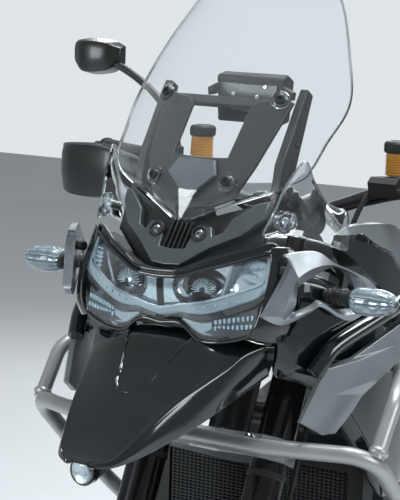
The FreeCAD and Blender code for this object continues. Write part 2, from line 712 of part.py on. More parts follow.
def frame():
    """Head tube, main spars, lower trellis tubes, cross tube and pivot plates, as one weldment."""
    head = new_body("head_tube")
    low = dims.lower_yoke_height + dims.lower_yoke_thickness + 6
    high = dims.upper_yoke_height - dims.yoke_gap
    revolve(head, "XZ_Plane", [(0, low), (dims.head_tube_radius, low), (dims.head_tube_radius, high), (0, high)])
    place_on_steering(head)
    parts = [head]
    for name, side in SIDES:
        upper_x, _, upper_z = steering_point(0, 0, 690)
        lower_x, _, lower_z = steering_point(0, 0, 548)
        spar = [(upper_x, 10, upper_z), (345, 60, 925), (250, 150, 880), (40, 172, 790), (-190, 150, 640),
                (-240, 129, 500)]
        trellis = [(lower_x, 10, lower_z), (400, 66, 785), (300, 180, 742), (110, 186, 705), (-150, 160, 652)]
        parts.append(tube(f"spar_{name}", both(spar, side), dims.spar_radius, 70))
        parts.append(tube(f"trellis_{name}", both(trellis, side), dims.spar_radius - 3, 60))
        brace = [(235, 158, 868), (190, 183, 722)]
        parts.append(tube(f"brace_{name}", both(brace, side), dims.spar_radius - 5))
        lug = [(322, 80, 912), (370, 176, 893)]
        parts.append(tube(f"bar_lug_{name}", both(lug, side), 12))
        plate = new_body(f"pivot_plate_{name}")
        near, far = dims.plate_inner, dims.plate_inner + dims.plate_thickness
        if side < 0:
            near, far = -far, -near
        bottom = dims.stand_pivot_z - 17
        side_pad(plate, [
            (-242, 694), (-204, 694), (-168, 640), (-188, 420), (dims.stand_pivot_x + 40, dims.stand_pivot_z + 30),
            (dims.stand_pivot_x + 17, bottom), (dims.stand_pivot_x - 17, bottom),
            (dims.stand_pivot_x - 22, dims.stand_pivot_z + 20), (dims.pivot_x - 42, dims.pivot_z),
            (dims.pivot_x - 30, dims.pivot_z + 120)], near, far)
        parts.append(plate)
        pin_start = (dims.stand_pivot_x, 90 if side > 0 else -125, dims.stand_pivot_z)
        parts.append(cylinder(f"stand_pin_{name}", pin_start, (0, 1, 0), dims.stand_pin_radius, 35))
    parts.append(cylinder("shock_cross_tube", (-223, -130, 676), (0, 1, 0), 14, 260))
    whole = fuse("frame_solid", parts)
    bore = new_body("stem_bore")
    side_hole = dims.stem_radius + dims.running_gap
    revolve(bore, "XZ_Plane", [(0, low - 40), (side_hole, low - 40), (side_hole, high + 40), (0, high + 40)])
    place_on_steering(bore)
    return cut("frame", whole, bore)


def fairing_stay(carrier):
    """The stay between the fork legs that carries the nose, from the head tube forward."""
    body = new_body("fairing_stay_blank")
    side_pad(body, [(488, 868), (560, 862), (642, 905), (642, 1040), (638, 1090), (652, 1146), (632, 1150), (604, 1090),
                    (602, 1000), (560, 955), (449, 960)], -26, 26)
    head = new_body("head_tube_room")
    revolve(head, "XZ_Plane", [(0, 400), (dims.head_tube_radius, 400), (dims.head_tube_radius, 800), (0, 800)])
    place_on_steering(head)
    return cut("fairing_stay", cut("fairing_stay_seated", body, head), carrier)


def subframe(carrier):
    """Seat rails, their lower stays and the cross tubes."""
    parts = []
    for name, side in SIDES:
        rail = both([(-118, 146, 690), (-300, 118, 762), (-470, 112, 800), (-880, 92, 876)], side)
        stay = both([(-262, 129, 560), (-640, 104, 828)], side)
        parts.append(tube(f"rail_{name}", rail, dims.stay_radius, 120))
        parts.append(tube(f"stay_{name}", stay, dims.stay_radius - 2))
    for x, half, z in ((-480, 112, 802), (-870, 93, 874)):
        parts.append(cylinder("cross_tube", (x, -half, z), (0, 1, 0), 9, 2 * half))
    return cut("rear_subframe", fuse("subframe_solid", parts), carrier)


def engine():
    """Crankcase with gearbox, sump and round side covers; cylinder block and head above."""
    case = new_body("engine_case")
    wide, narrow = dims.crankcase_half, dims.gearbox_half
    side_pad(case, [(-60, 312), (-20, 292), (296, 290), (335, 350), (332, 505), (258, 546), (70, 560), (-60, 590)],
             -wide, wide)
    side_pad(case, [(-214, 350), (-60, 312), (-60, 588), (-150, 600), (-214, 540)], -narrow, narrow)
    side_pad(case, [(-50, 262), (190, 262), (215, 296), (-70, 300)], -96, 96)
    side_disc(case, (206, 430), 88, wide, wide + 26, "alternator_cover")
    side_disc(case, (206, 430), 56, wide, wide + 32, "alternator_cap")
    side_disc(case, (40, 436), 102, -wide - 30, -wide, "clutch_cover")
    side_disc(case, (230, 410), 60, -wide - 22, -wide, "timing_cover")
    side_pad(case, [(dims.side_stand_x - 26, 268), (dims.side_stand_x + 26, 268), (dims.side_stand_x + 26, 340),
                    (dims.side_stand_x - 26, 340)], wide, wide + 22, "side_stand_lug")
    block = new_body("cylinder_block")
    half = dims.cylinder_half
    side_pad(block, [(72, 560.3), (258, 546.5), (312, 690), (120, 742)], -half, half)
    side_pad(block, [(120, 742), (312, 690), (326, 744), (160, 792), (128, 770)], -half + 14, half - 14, "cam_cover")
    for i in range(3):
        offset = -92 + 92 * i
        side_pad(block, [(266, 600), (296, 600), (316, 640), (304, 668), (266, 668)], offset - 30, offset + 30, "port")
    return case, block


def airbox():
    """Intake box behind the cylinders, under the tank's tail."""
    body = new_body("airbox")
    side_pad(body, [(-184, 648), (-150, 616), (-50, 604), (66, 612), (92, 706), (96, 780), (-20, 788), (-184, 776)],
             -96, 96)
    for x in (-140, -60, 20):
        side_pad(body, [(x, 640), (x + 14, 640), (x + 14, 764), (x, 764)], -100, 100, "rib")
    return body


def sump_guard():
    """Folded plate under the engine: floor, turned-up nose and side walls."""
    body = new_body("sump_guard")
    outer = [(-150, 196), (270, 180), (394, 262), (402, 330), (396, 332), (388, 268), (268, 186), (-150, 202)]
    side_pad(body, outer, -112, 112)
    for near, far in ((-116, -112), (112, 116)):
        side_pad(body, [(-150, 196), (270, 180), (394, 262), (398, 300), (340, 262), (250, 232), (-150, 228)],
                 near, far, "wall")
    return body


def radiator():
    """Core with its side tanks and the fan frame's edge."""
    body = new_body("radiator")
    back, low, high = 408, 480, 736
    front = back + dims.radiator_depth
    half = dims.radiator_half
    tank, rail = 26, 12
    side_pad(body, [(back + 5, low + rail), (front - 5, low + rail), (front - 5, high - rail), (back + 5, high - rail)],
             tank - half, half - tank)
    for near, far, name in ((-half, tank - half, "right_tank"), (half - tank, half, "left_tank")):
        side_pad(body, [(back, low), (front, low), (front, high), (back, high)], near, far, name)
    for bottom, top, name in ((low, low + rail, "bottom_rail"), (high - rail, high, "top_rail")):
        side_pad(body, [(back, bottom), (front, bottom), (front, top), (back, top)], 20 - half, half - 20, name)
    return body


def exhaust(block):
    """Three headers into the box under the engine, the link pipe and the silencer."""
    parts = []
    for i in range(3):
        y = -92 + 92 * i
        points = [(310, y, 632), (366, y, 610), (386, y, 520), (372, y * 0.9, 350), (322, y * 0.6, 254),
                  (170, y * 0.5, 232)]
        parts.append(tube("header", points, dims.header_radius, 60))
    collector = new_body("collector")
    side_pad(collector, [(-110, 208), (180, 208), (200, 222), (200, 246), (180, 256), (-110, 256)], -86, 86)
    parts.append(collector)
    link = [(-90, 50, 232), (-170, 50, 236), (-262, 46, 264), (-350, 72, 326), (-420, 154, 408), (-484, 190, 452)]
    parts.append(tube("link_pipe", link, 20, 90))
    silencer = new_body("silencer")
    start = -486
    rows = [  # x, y, half width, z, half height
        (start, 192, 40, 454, 40), (start - 60, 196, 58, 476, 66), (start - dims.silencer_length + 60, 200, 60, 600, 72),
        (start - dims.silencer_length, 202, 44, 622, 52)]
    sections = []
    for x, y, half, z, tall in rows:
        corners = [(-0.5, -1), (0.5, -1), (1, -0.5), (1, 0.5), (0.5, 1), (-0.5, 1), (-1, 0.5), (-1, -0.5)]
        sections.append((x, [(y + a * half, z + b * tall) for a, b in corners]))
    loft(silencer, "YZ_Plane", list(reversed(sections)))
    return cut("exhaust_pipes", cut("exhaust_ported", fuse("exhaust_solid", parts), block), silencer)


def swingarm_group(frame_node):
    """Single-sided swingarm with its pivot tube, final drive case, caliper and shock."""
    arm = new_body("swingarm_arm")
    side_pad(arm, [(-262, 362), (-262, 438), (-420, 424), (-640, 392), (-682, 384), (-682, 300), (-640, 306),
                   (-420, 344)], -164, -100)
    side_pad(arm, [(-284, 366), (-284, 434), (-390, 420), (-390, 356)], -100, 60, "bridge")
    pivot = cylinder("pivot_tube", (dims.pivot_x, -dims.plate_inner, dims.pivot_z), (0, 1, 0), 28,
                     dims.plate_inner * 2)
    trim = box("pivot_plate_room", (dims.pivot_x - 60, -dims.plate_inner - dims.plate_thickness, 250),
               (dims.pivot_x + 90, -dims.plate_inner, 700))
    swingarm = cut("swingarm", fuse("swingarm_solid", [arm, pivot]), trim)
    drive = new_body("final_drive_turned")
    place(drive, (REAR_AXLE_X, 0, REAR_AXLE_Z))
    revolve(drive, "XY_Plane", [(0, -176), (40, -176), (62, -170), (76, -156), (76, -108), (62, -98), (34, -94), (0, -94)])
    joined = cut("final_drive_blank", drive, swingarm)
    axle = cylinder("rear_axle", (REAR_AXLE_X, -94.0, REAR_AXLE_Z), (0, 1, 0), dims.axle_radius, 170)
    nut = cylinder("rear_axle_nut", (REAR_AXLE_X, 62.4, REAR_AXLE_Z), (0, 1, 0), 24, 12)
    fuse("final_drive", [joined, axle, nut])
    caliper_block = new_body("rear_caliper_block")
    side_pad(caliper_block, [(-662, 392), (-622, 400), (-596, 372), (-600, 330), (-640, 322), (-652, 340)],
             -99.7, -58)
    slot = new_body("rear_caliper_slot")
    room = dims.disc_thickness / 2 + 5.2
    side_disc(slot, (0, 0), dims.rear_disc_radius + 6, -dims.rear_disc_offset - room, -dims.rear_disc_offset + room)
    place(slot, (REAR_AXLE_X, 0, REAR_AXLE_Z))
    cut("rear_caliper", caliper_block, slot)
    shock = new_body("rear_shock_blank")
    revolve(shock, "XZ_Plane", [(0, 0), (16, 0), (18, 30), (38, 34), (38, 44), (26, 48), (26, 184), (38, 188),
                                (38, 198), (24, 204), (20, 262), (0, 262)])
    lean = math.degrees(math.atan2(52, 232))
    shock.Placement = Placement(Vector(-314, -10, 426), Rotation(Vector(0, 1, 0), lean))
    cut("rear_shock", cut("rear_shock_seated", shock, swingarm), frame_node)
    return swingarm


def footrests():
    """Hanger plates with the rider's pegs, brake pedal and gear lever."""
    parts = []
    for name, side in SIDES:
        near = dims.plate_inner + dims.plate_thickness
        far = near + 10
        low, high = (near, far) if side > 0 else (-far, -near)
        hanger = new_body(f"hanger_{name}")
        side_pad(hanger, [(-214, 420), (-190, 420), (-128, 336), (-134, 318), (-214, 322)], low, high)
        start = (-192, far - 2 if side > 0 else -far + 2 - dims.peg_length, 344)
        peg = cylinder(f"peg_{name}", start, (0, 1, 0), 11, dims.peg_length)
        lever = both([(-146, far + 14, 329), (-90, far + 36, 334), (-8, far + 40, 340), (-8, far + 78, 340)], side)
        pivot = cylinder(f"lever_pivot_{name}", (-146, far - 2 if side > 0 else -far - 24, 329), (0, 1, 0), 9, 26)
        parts.append(fuse(f"footrest_{name}", [hanger, peg, tube(f"pedal_{name}", lever, 6, 30), pivot]))
    return gather("footrests", parts)


def centre_stand():
    """Two legs with eyes on the frame's pins, a cross tube, feet and the foot lever."""
    parts = []
    pivot_x, pivot_z = dims.stand_pivot_x, dims.stand_pivot_z
    for name, side in SIDES:
        eye_start = (pivot_x, 92 if side > 0 else -110, pivot_z)
        parts.append(cylinder(f"stand_eye_{name}", eye_start, (0, 1, 0), 17, 18))
        leg = both([(pivot_x, 100, pivot_z - 6), (pivot_x + 8, 101, pivot_z - 92),
                    (dims.stand_foot_x, dims.stand_foot_y, 8)], side)
        parts.append(tube(f"stand_leg_{name}", leg, dims.stand_tube_radius, 60))
        half = 20
        near = dims.stand_foot_y - half if side > 0 else -dims.stand_foot_y - half
        parts.append(box(f"stand_foot_{name}", (dims.stand_foot_x - 30, near, 0),
                         (dims.stand_foot_x + 30, near + 2 * half, 8)))
    parts.append(cylinder("stand_cross_tube", (pivot_x + 7, -101, pivot_z - 82), (0, 1, 0), 10, 202))
    lever = [(dims.stand_foot_x - 4, dims.stand_foot_y - 18, 70), (dims.stand_foot_x - 60, 178, 52),
             (dims.stand_foot_x - 110, 196, 60)]
    parts.append(tube("stand_lever", lever, 7, 40))
    whole = fuse("centre_stand_solid", parts)
    bores = [cylinder("stand_eye_bore", (pivot_x, low, pivot_z), (0, 1, 0),
                      dims.stand_pin_radius + dims.running_gap, 60) for low in (70, -130)]
    floor_trim = box("floor_room", (dims.stand_foot_x - 200, -300, -60), (dims.stand_foot_x + 200, 300, 0))
    return cut("centre_stand", whole, fuse("stand_room", bores + [floor_trim]))


def side_stand():
    """Side stand folded back along the left side."""
    x, z = dims.side_stand_x, dims.side_stand_z
    y = dims.crankcase_half + 22
    way = (0, 0.919, 0.394)
    boss = cylinder("side_stand_boss", (x, y + 7, z - 4), way, 15, 26)
    leg = tube("side_stand_leg", [(x - 4, y + 20, z + 1), (x - 60, y + 22, z), (x - dims.side_stand_length, y + 26, z - 2)],
               11, 40)
    foot = new_body("side_stand_foot")
    tip_x, tip_y = x - dims.side_stand_length, y + 26
    side_pad(foot, [(tip_x - 9, z - 30), (tip_x + 3, z - 32), (tip_x + 5, z + 26), (tip_x - 5, z + 28)],
             tip_y - 26, tip_y + 26)
    return fuse("side_stand", [boss, leg, foot])


# Tank, seats and tail

def tank_and_seats(frame_node, rails):
    """Fuel tank over the spars, rider's seat and pillion seat."""
    tank = symmetric_loft("fuel_tank_blank", [
        # x, half_low, z_low, half_wide, z_wide, half_top, z_top
        (-34, 60, 806, 78, 826, 44, 872), (40, 90, 812, 114, 880, 62, 962), (150, 104, 826, 142, 936, 86, 1032),
        (250, 104, 850, 150, 960, 92, 1046), (300, 96, 872, 142, 956, 84, 1034), (344, 84, 900, 112, 930, 66, 962)])
    cap_x, cap_z = 190, as_size(1049)
    hinge_x, hinge_z = cap_x + dims.cap_radius + 7, cap_z + 8
    neck = cylinder("filler_neck", (cap_x, 0, 1010), (0, 0, 1), dims.cap_radius, cap_z - 1010)
    pin = cylinder("cap_pin", (hinge_x, -20, hinge_z), (0, 1, 0), 2, 40)
    ears = [box("cap_ear", (hinge_x - 4, low, 1030), (hinge_x + 4, low + 7, hinge_z + 4)) for low in (-20, 13)]
    cut("fuel_tank", fuse("fuel_tank_whole", [tank, neck, pin] + ears), frame_node)
    cap = new_body("filler_cap_blank")
    revolve(cap, "XZ_Plane", [(0, 0), (dims.cap_radius, 0), (dims.cap_radius, 9), (dims.cap_radius - 5, 13), (0, 14)])
    side_pad(cap, [(dims.cap_radius - 8, 2), (dims.cap_radius + 7, 3), (dims.cap_radius + 11, 8),
                   (dims.cap_radius + 7, 13), (dims.cap_radius - 8, 12)], -12, 12, "cap_hinge")
    place(cap, (cap_x, 0, cap_z + 0.3))
    cap_bore = cylinder("cap_bore", (hinge_x, -30, hinge_z), (0, 1, 0), 2.3, 60)
    cut("filler_cap", cap, cap_bore)
    rider = symmetric_loft("seat_rider", [
        (-452, 110, 824, 150, 850, 118, 892), (-400, 120, 818, 160, 838, 120, 864), (-290, 118, 804, 148, 822, 112, 846),
        (-160, 76, 800, 104, 818, 78, 846), (-36, 52, 806, 74, 826, 40, 868)])
    pillion = symmetric_loft("seat_pillion_blank", [
        (-792, 66, 886, 92, 902, 66, 928), (-700, 88, 872, 122, 892, 92, 932), (-560, 96, 848, 134, 872, 100, 928),
        (-460, 98, 834, 138, 862, 108, 914)])
    for x, z in ((-600, 862), (-730, 884)):
        for _, side in SIDES:
            low, high = sorted((98 * side, 112 * side))
            side_pad(pillion, [(x, z - 40), (x + 24, z - 44), (x + 24, z), (x, z)], low, high, "seat_foot")
    return rider, cut("seat_pillion", pillion, rails)


def tail_group(rails):
    """Tail fairing, rack, lamp, mudguard with the plate's hanger, plate and rear indicators."""
    sides = []
    for name, side in SIDES:
        panel = new_body(f"tail_panel_{name}")
        rows = [  # x, inner y, outer y, low z, high z
            (-880, 108, 116, 848, 892), (-700, 118, 140, 800, 868), (-520, 126, 156, 762, 836),
            (-330, 134, 160, 742, 796), (-230, 144, 158, 700, 776)]
        sections = [(x, [(inner * side, low), (outer * side, low + 14), (outer * side, high - 10), (inner * side, high)])
                    for x, inner, outer, low, high in rows]
        loft(panel, "YZ_Plane", sections)
        sides.append(panel)
    gather("tail_panels", sides)
    rack = new_body("luggage_rack_blank")
    pad(rack, sketch(rack, "XY_Plane", 944, [
        (-1010, -88), (-990, -108), (-830, -112), (-806, -96), (-806, 96), (-830, 112), (-990, 108), (-1010, 88)]),
        dims.rack_thickness)
    pocket_all(rack, sketch(rack, "XY_Plane", 944, [(-884, -36), (-856, -36), (-856, 36), (-884, 36)]), "grip_slot")
    for dx in (-0.5, 0.5):
        for dy in (-0.5, 0.5):
            centre = (-908 + dims.rack_hole_pitch_x * dx, dims.rack_hole_pitch_y * dy)
            pocket_all(rack, circle_sketch(rack, "XY_Plane", 944, centre, dims.rack_hole_radius), "bolt_hole")
    for side in (-1, 1):
        low, high = sorted((84 * side, 100 * side))
        side_pad(rack, [(-876, 872), (-824, 864), (-824, 944), (-876, 944)], low, high, "rack_leg")
    cut("luggage_rack", rack, rails)
    under_blank = new_body("rear_mudguard_blank")
    side_pad(under_blank, [(-470, 742), (-560, 770), (-700, 790), (-860, 800), (-900, 790), (-918, 770), (-1040, 590),
                           (-1060, 480), (-1050, 478), (-1028, 582), (-900, 742), (-850, 776), (-700, 772),
                           (-560, 752), (-474, 726)], -74, 74)
    for _, side in SIDES:
        low, high = sorted((66 * side, 100 * side))
        side_pad(under_blank, [(-640, 776), (-600, 772), (-600, 832), (-640, 838)], low, high, "front_bracket")
        side_pad(under_blank, [(-892, 786), (-836, 790), (-836, 872), (-880, 878)], low, high, "rear_bracket")
    under = cut("rear_mudguard", under_blank, rails)
    plate = new_body("number_plate")
    half = dims.number_plate_width / 2
    side_pad(plate, [(0, 0), (3, 0), (3, dims.number_plate_height), (0, dims.number_plate_height)], -half, half)
    place(plate, (-1063.3, 0, 480.5), (0, 1, 0), 10.3)
    lamp = new_body("tail_lamp_blank")
    side_pad(lamp, [(-882, 812), (-882, 866), (-930, 874), (-944, 846), (-930, 822)], -70, 70)
    cut("tail_lamp", lamp, under)
    indicators = []
    for name, side in SIDES:
        stem = tube(f"rear_stem_{name}", both([(-960, 68, 700), (-962, 118, 704)], side), 7)
        lens = new_body(f"rear_lens_{name}")
        low, high = sorted((116 * side, (116 + dims.indicator_length.value) * side))
        side_pad(lens, [(-982, 688), (-948, 690), (-944, 716), (-980, 720)], low, high)
        indicators.append(fuse(f"rear_indicator_{name}", [stem, lens]))
    cut("rear_indicators", gather("rear_indicators_blank", indicators), under)
    return under


# Nose

def headlamp():
    """Headlamp shell with its deep tray, and the clear lens over it."""
    lens_rows = [  # side, top x, top z, bottom x, bottom z
        (0, 729, 1046, 716, 972), (40, 731, 1049, 715, 972), (95, 706, 1066, 713, 968), (138, 674, 1081, 705, 968),
        (164, 660, 1070, 694, 990)]
    thick = dims.lens_thickness
    lens_sections = [(y, [(xt, zt), (xb, zb), (xb - thick, zb + 1), (xt - thick, zt - 1)])
                     for y, xt, zt, xb, zb in lens_rows]
    lens = cross_loft("headlamp_lens", lens_sections)
    back = 642.3
    shell_rows = [(y, [(xt - thick - 0.3, zt + 3), (xb - thick - 0.3, zb - 4), (back, zb - 2), (back, zt + 1)])
                  for y, xt, zt, xb, zb in lens_rows[:-1]]
    shell_rows.append((173, [(654, 1070), (684, 988), (back, 988), (back, 1066)]))
    shell = cross_loft("headlamp_shell", shell_rows)
    tray_rows = [(y, [(xt + 2, zt - 5), (xb + 2, zb + 6), (xb - 38, zb + 8), (xt - 38, zt - 8)])
                 for y, xt, zt, xb, zb in lens_rows[:-1]]
    tray_rows.append((158, [(664, 1062), (694, 1000), (656, 1002), (650, 1058)]))
    tray = cross_loft("headlamp_tray", tray_rows)
    return cut("headlamp_body", cut("headlamp_hollow", shell, tray), lens)


def cowl_block(name, levels, sides, front, back):
    """A curved block over the lamp: between two heights of the cowl's face, 0 low to 1 high."""
    face = [  # side, low x, low z, high x, high z
        (0, 701, 1058, 662, 1112), (28, 700, 1060, 660, 1114), (55, 690, 1072, 654, 1124), (90, 670, 1090, 642, 1136),
        (125, 646, 1106, 626, 1150), (152, 626, 1108, 608, 1156)]
    sections = []
    for y, xl, zl, xh, zh in face:
        if sides[0] <= y <= sides[1]:
            low, high = ((xl + (xh - xl) * part, zl + (zh - zl) * part) for part in levels)
            sections.append((y, [(low[0] + front, low[1]), (high[0] + front, high[1]), (high[0] - back, high[1] - 3),
                                 (low[0] - back, low[1])]))
    return cross_loft(name, sections)


def nose_cowl(stay):
    """Silver V over the lamp on its black carrier, with side windows and the ribbed intake."""
    carrier = cowl_block("cowl_carrier", (-0.1, 1), (0, 152), -8, 20)
    face = cowl_block("cowl_silver", (0, 1), (0, 125), 2, 9)
    room = []
    for name, side in SIDES:
        window = new_body(f"cowl_window_{name}")
        corners = [(0.53, 1130), (0.62, 1096), (0.98, 1103), (0.9, 1148)]
        near, far = 60, 112
        outline = [(near + (far - near) * (part - 0.5) / 0.5, z) for part, z in corners]
        pad(window, sketch(window, "YZ_Plane", 600, [(y * side, z) for y, z in outline]), 160)
        room.append(window)
    for i in range(5):
        slit = new_body("intake_slit")
        y = -20 + 10 * i
        side_pad(slit, [(720, 1070), (655, 1106), (668, 1122), (740, 1090)], y - 3, y + 3)
        room.append(slit)
    whole = fuse("nose_cowl_solid", [carrier, cut("cowl_face", face, fuse("cowl_room", room))])
    return cut("nose_cowl", whole, stay)


def screen_group(cowl, stay):
    """Windscreen, its black plate and uprights, the deflectors and the instrument box."""
    rows = [  # z, middle x, edge x, half width
        (1118, 676, 670, 16), (1180, 660, 611, 158), (1290, 594, 517, 184), (1425, 506, 451, 128), (1498, 456, 436, 72)]
    screen = new_body("windscreen")
    thick = dims.screen_thickness
    sections = []
    for z, middle, edge, half in rows:
        bow = middle - edge
        stations = (-1, -0.6, -0.2, 0.2, 0.6, 1)
        front = [(middle - bow * a * a, half * a) for a in stations]
        back = [(x - thick, y) for x, y in reversed(front)]
        sections.append((z, front + back))
    loft(screen, "XY_Plane", sections)
    plate = new_body("screen_plate")
    plate_rows = [(1140, 643, 70), (1180, 634, 84), (1288, 553, 112)]
    sections = [(z, [(x, -half), (x + 12, -half * 0.5), (x + 12, half * 0.5), (x, half), (x - 5, half),
                     (x + 7, half * 0.5), (x + 7, -half * 0.5), (x - 5, -half)]) for z, x, half in plate_rows]
    loft(plate, "XY_Plane", sections)
    window = new_body("screen_window")
    pad(window, sketch(window, "YZ_Plane", 540, [(-34, 1206), (34, 1206), (46, 1270), (-46, 1270)]), 160)
    uprights = []
    for name, side in SIDES:
        bar = new_body(f"upright_{name}")
        low, high = sorted((112 * side, 124 * side))
        side_pad(bar, [(617, 1130), (587, 1126), (521, 1296), (537, 1306), (549, 1288), (602, 1200)], low, high)
        uprights.append(bar)
    shelf = new_body("instrument_shelf")
    side_pad(shelf, [(490, 1286), (550, 1286), (550, 1296), (490, 1296)], -118, 118)
    dash = new_body("instrument_panel")
    side_pad(dash, [(474, 1250), (496, 1246), (500, 1316), (482, 1322), (464, 1312)], -58, 58)
    bosses = []
    for tip, way, length in (((566, 98, 1290), (0.806, 0.266, 0.529), 26), ((646.9, 62, 1175), (0.943, 0.23, 0.245), 15)):
        for name, side in SIDES:
            start = both([tuple(a - b * length for a, b in zip(tip, way))], side)[0]
            bosses.append(cylinder(f"screen_boss_{name}", start, (way[0], way[1] * side, way[2]), 8, length))
    pieces = [cut("screen_plate_cut", plate, window), shelf] + uprights + bosses
    room = fuse("screen_frame_room", [cowl, stay, dash])
    frame_piece = cut("screen_frame", fuse("screen_frame_solid", pieces), room)
    shields = []
    outline = [(-27, 1107), (-11, 1136), (11, 1177), (43, 1209), (59, 1183), (81, 1153), (104, 1140), (125, 1132),
               (128, 1087), (121, 1079), (83, 1091), (51, 1099), (23, 1106)]
    for name, side in SIDES:
        shield = new_body(f"deflector_{name}")
        low, high = sorted((-3.5 * side, 0))
        side_pad(shield, outline, low, high)
        place(shield, (650, 150 * side, 0), (0, 0, 1), 160 * side)
        stud = cylinder(f"deflector_stud_{name}", (621.2, 143.4 * side, 1117.2), (0.748, 0.568 * side, 0.344), 6, 21)
        shields.append(fuse(f"wind_deflector_{name}", [shield, stud]))
    gather("wind_deflectors", shields)
    return frame_piece, dash


def beak():
    """Beak under the headlamp: a rounded back that droops to a blunt tip, with a sunk middle."""
    rows = [  # x, ridge z, half_wide, z_wide, half_low, z_low
        (646, 957, 150, 948, 142, 902), (668, 962, 143, 948, 133, 890), (695, 966, 130, 938, 124, 877),
        (720, 958, 119, 921, 116, 864), (750, 926, 106, 904, 107, 850), (780, 898, 93, 887, 97, 837),
        (810, 872, 82, 868, 85, 825), (840, 846, 70, 845, 71, 812), (866, 823, 58, 823, 58, 803),
        (886, 809, 46, 808, 44, 797.5), (900, 802, 26, 801, 25, 796)]

    def section(x, ridge, wide, z_wide, low, z_low, sink=0):
        drop = z_wide - ridge
        if sink:
            z_mid = ridge + drop * 0.14 - sink
            left = [(sink_half(x), z_mid - 12), (sink_half(x), z_mid)]
            return left + [(-y, z) for y, z in reversed(left)]
        left = [(low, z_low), (wide, z_wide - 5), (wide * 0.965, z_wide + 1), (wide * 0.82, ridge + drop * 0.66),
                (wide * 0.5, ridge + drop * 0.2), (wide * 0.2, ridge + drop * 0.02)]
        return left + [(-y, z) for y, z in reversed(left)]

    def sink_half(x):
        return 28 + (785 - x) * 0.42

    body = new_body("beak_solid")
    loft(body, "YZ_Plane", [(row[0], section(*row)) for row in rows])
    return cut("beak", body, beak_sink(rows, section))


def beak_sink(rows, section):
    """The room above the beak's sunk middle."""
    body = new_body("beak_room")
    sections = []
    for row in rows:
        if 700 < row[0] < 790:
            low = section(*row, sink=4)
            half, z_mid = low[1]
            sections.append((row[0], [(half, z_mid), (half, z_mid + 40), (-half, z_mid + 40), (-half, z_mid)]))
    loft(body, "YZ_Plane", sections)
    return body


def side_fairings(bars):
    """Black side fairings from the lamp's ends back to the tank shrouds."""
    pair = []
    for name, side in SIDES:
        panel = new_body(f"fairing_{name}")
        rows = [  # x, inner y, outer y, low z, high z
            (340, 206, 226, 740, 900), (430, 214, 238, 700, 935), (520, 208, 238, 790, 1000), (590, 180, 212, 880, 1040),
            (641, 146, 182, 905, 1056)]
        sections = [(x, [(inner * side, low), (outer * side, low + 24), (outer * side, high - 16), (inner * side, high)])
                    for x, inner, outer, low, high in rows]
        loft(panel, "YZ_Plane", sections)
        pair.append(panel)
    return cut("side_fairings", gather("side_fairings_blank", pair), bars)


def tank_shrouds():
    """Silver shrouds beside the tank, reaching forward to the side fairings."""
    pair = []
    for name, side in SIDES:
        panel = new_body(f"shroud_{name}")
        rows = [  # x, inner y, outer y, low z, high z
            (30, 122, 134, 900, 940), (150, 150, 178, 905, 1000), (250, 158, 204, 912, 1038), (320, 162, 210, 930, 1074),
            (370, 164, 212, 945, 1099), (440, 168, 207, 990, 1107), (500, 170, 194, 1046, 1108), (532, 172, 184, 1074, 1100)]
        sections = [(x, [(inner * side, low), (outer * side, low + (high - low) * 0.2), (outer * side, high - (high - low) * 0.3),
                         ((outer - (outer - inner) * 0.55) * side, high), (inner * side, high)])
                    for x, inner, outer, low, high in rows]
        loft(panel, "YZ_Plane", sections)
        pair.append(panel)
    return gather("tank_shrouds", pair)


def wing_panels(carrier):
    """Silver panels beside the lamp: an upper boomerang and a lower blade on each side."""
    pieces = []
    upper = [(-12, 1000), (26, 1072), (20, 1084), (67, 1089), (97, 1071), (154, 1045), (168, 1017), (141, 996),
             (127, 990), (106, 996), (77, 1010), (59, 1004), (17, 988)]
    opening = [(46, 1040), (60, 1049), (97, 1064), (127, 1046), (134, 1018), (128, 1006), (103, 1006), (77, 1018),
               (60, 1012), (38, 1010)]
    lower = [(-34, 848), (-3, 904), (12, 922), (60, 933), (145, 975), (168, 962), (152, 926), (108, 904), (80, 878),
             (54, 848), (30, 826), (6, 826)]
    shapes = (("upper", upper, (704, 180), 150.2, (672, 172, 1060, 26)),
              ("lower", lower, (634, 222), 160, (588, 200, 920, 34)))
    for label, outline, corner, yaw, stud in shapes:
        for name, side in SIDES:
            body = new_body(f"wing_{label}_{name}")
            thick = dims.panel_thickness
            low, high = (-thick, as_size(0)) if side > 0 else (as_size(0), thick)
            side_pad(body, outline, low, high)
            if label == "upper":
                pocket_all(body, sketch(body, "XZ_Plane", 0, opening, "opening"), "stem_opening")
            place(body, (corner[0], corner[1] * side, 0), (0, 0, 1), yaw * side)
            x, y, z, reach = stud
            foot = cylinder(f"wing_stud_{label}_{name}", (x, y * side, z), (0, side, 0), 8, reach)
            pieces.append(fuse(f"wing_{label}_set_{name}", [body, foot]))
    return cut("wing_panels", gather("wing_panels_blank", pieces), carrier)


def front_indicators(carriers):
    """Indicators: a stem and a long lens on each side."""
    pair = []
    for name, side in SIDES:
        stem = tube(f"front_stem_{name}", both([(604, 206, 1022), (612, 260, 1023)], side), 9)
        lens = new_body(f"front_lens_{name}")
        rows = [(256, 16, 14), (262, 24, 20), (262 + dims.indicator_length.value * 0.7, 22, 17),
                (262 + dims.indicator_length.value, 12, 10)]
        sections = [(-y * side, [(-a, -b), (a * 0.5, -b), (a, 0), (a * 0.5, b), (-a, b)]) for y, a, b in rows]
        loft(lens, "XZ_Plane", sections)
        place(lens, (614, 0, 1023))
        pair.append(fuse(f"front_indicator_{name}", [stem, lens]))
    return cut("front_indicators", gather("front_indicators_blank", pair), fuse("indicator_room", carriers))


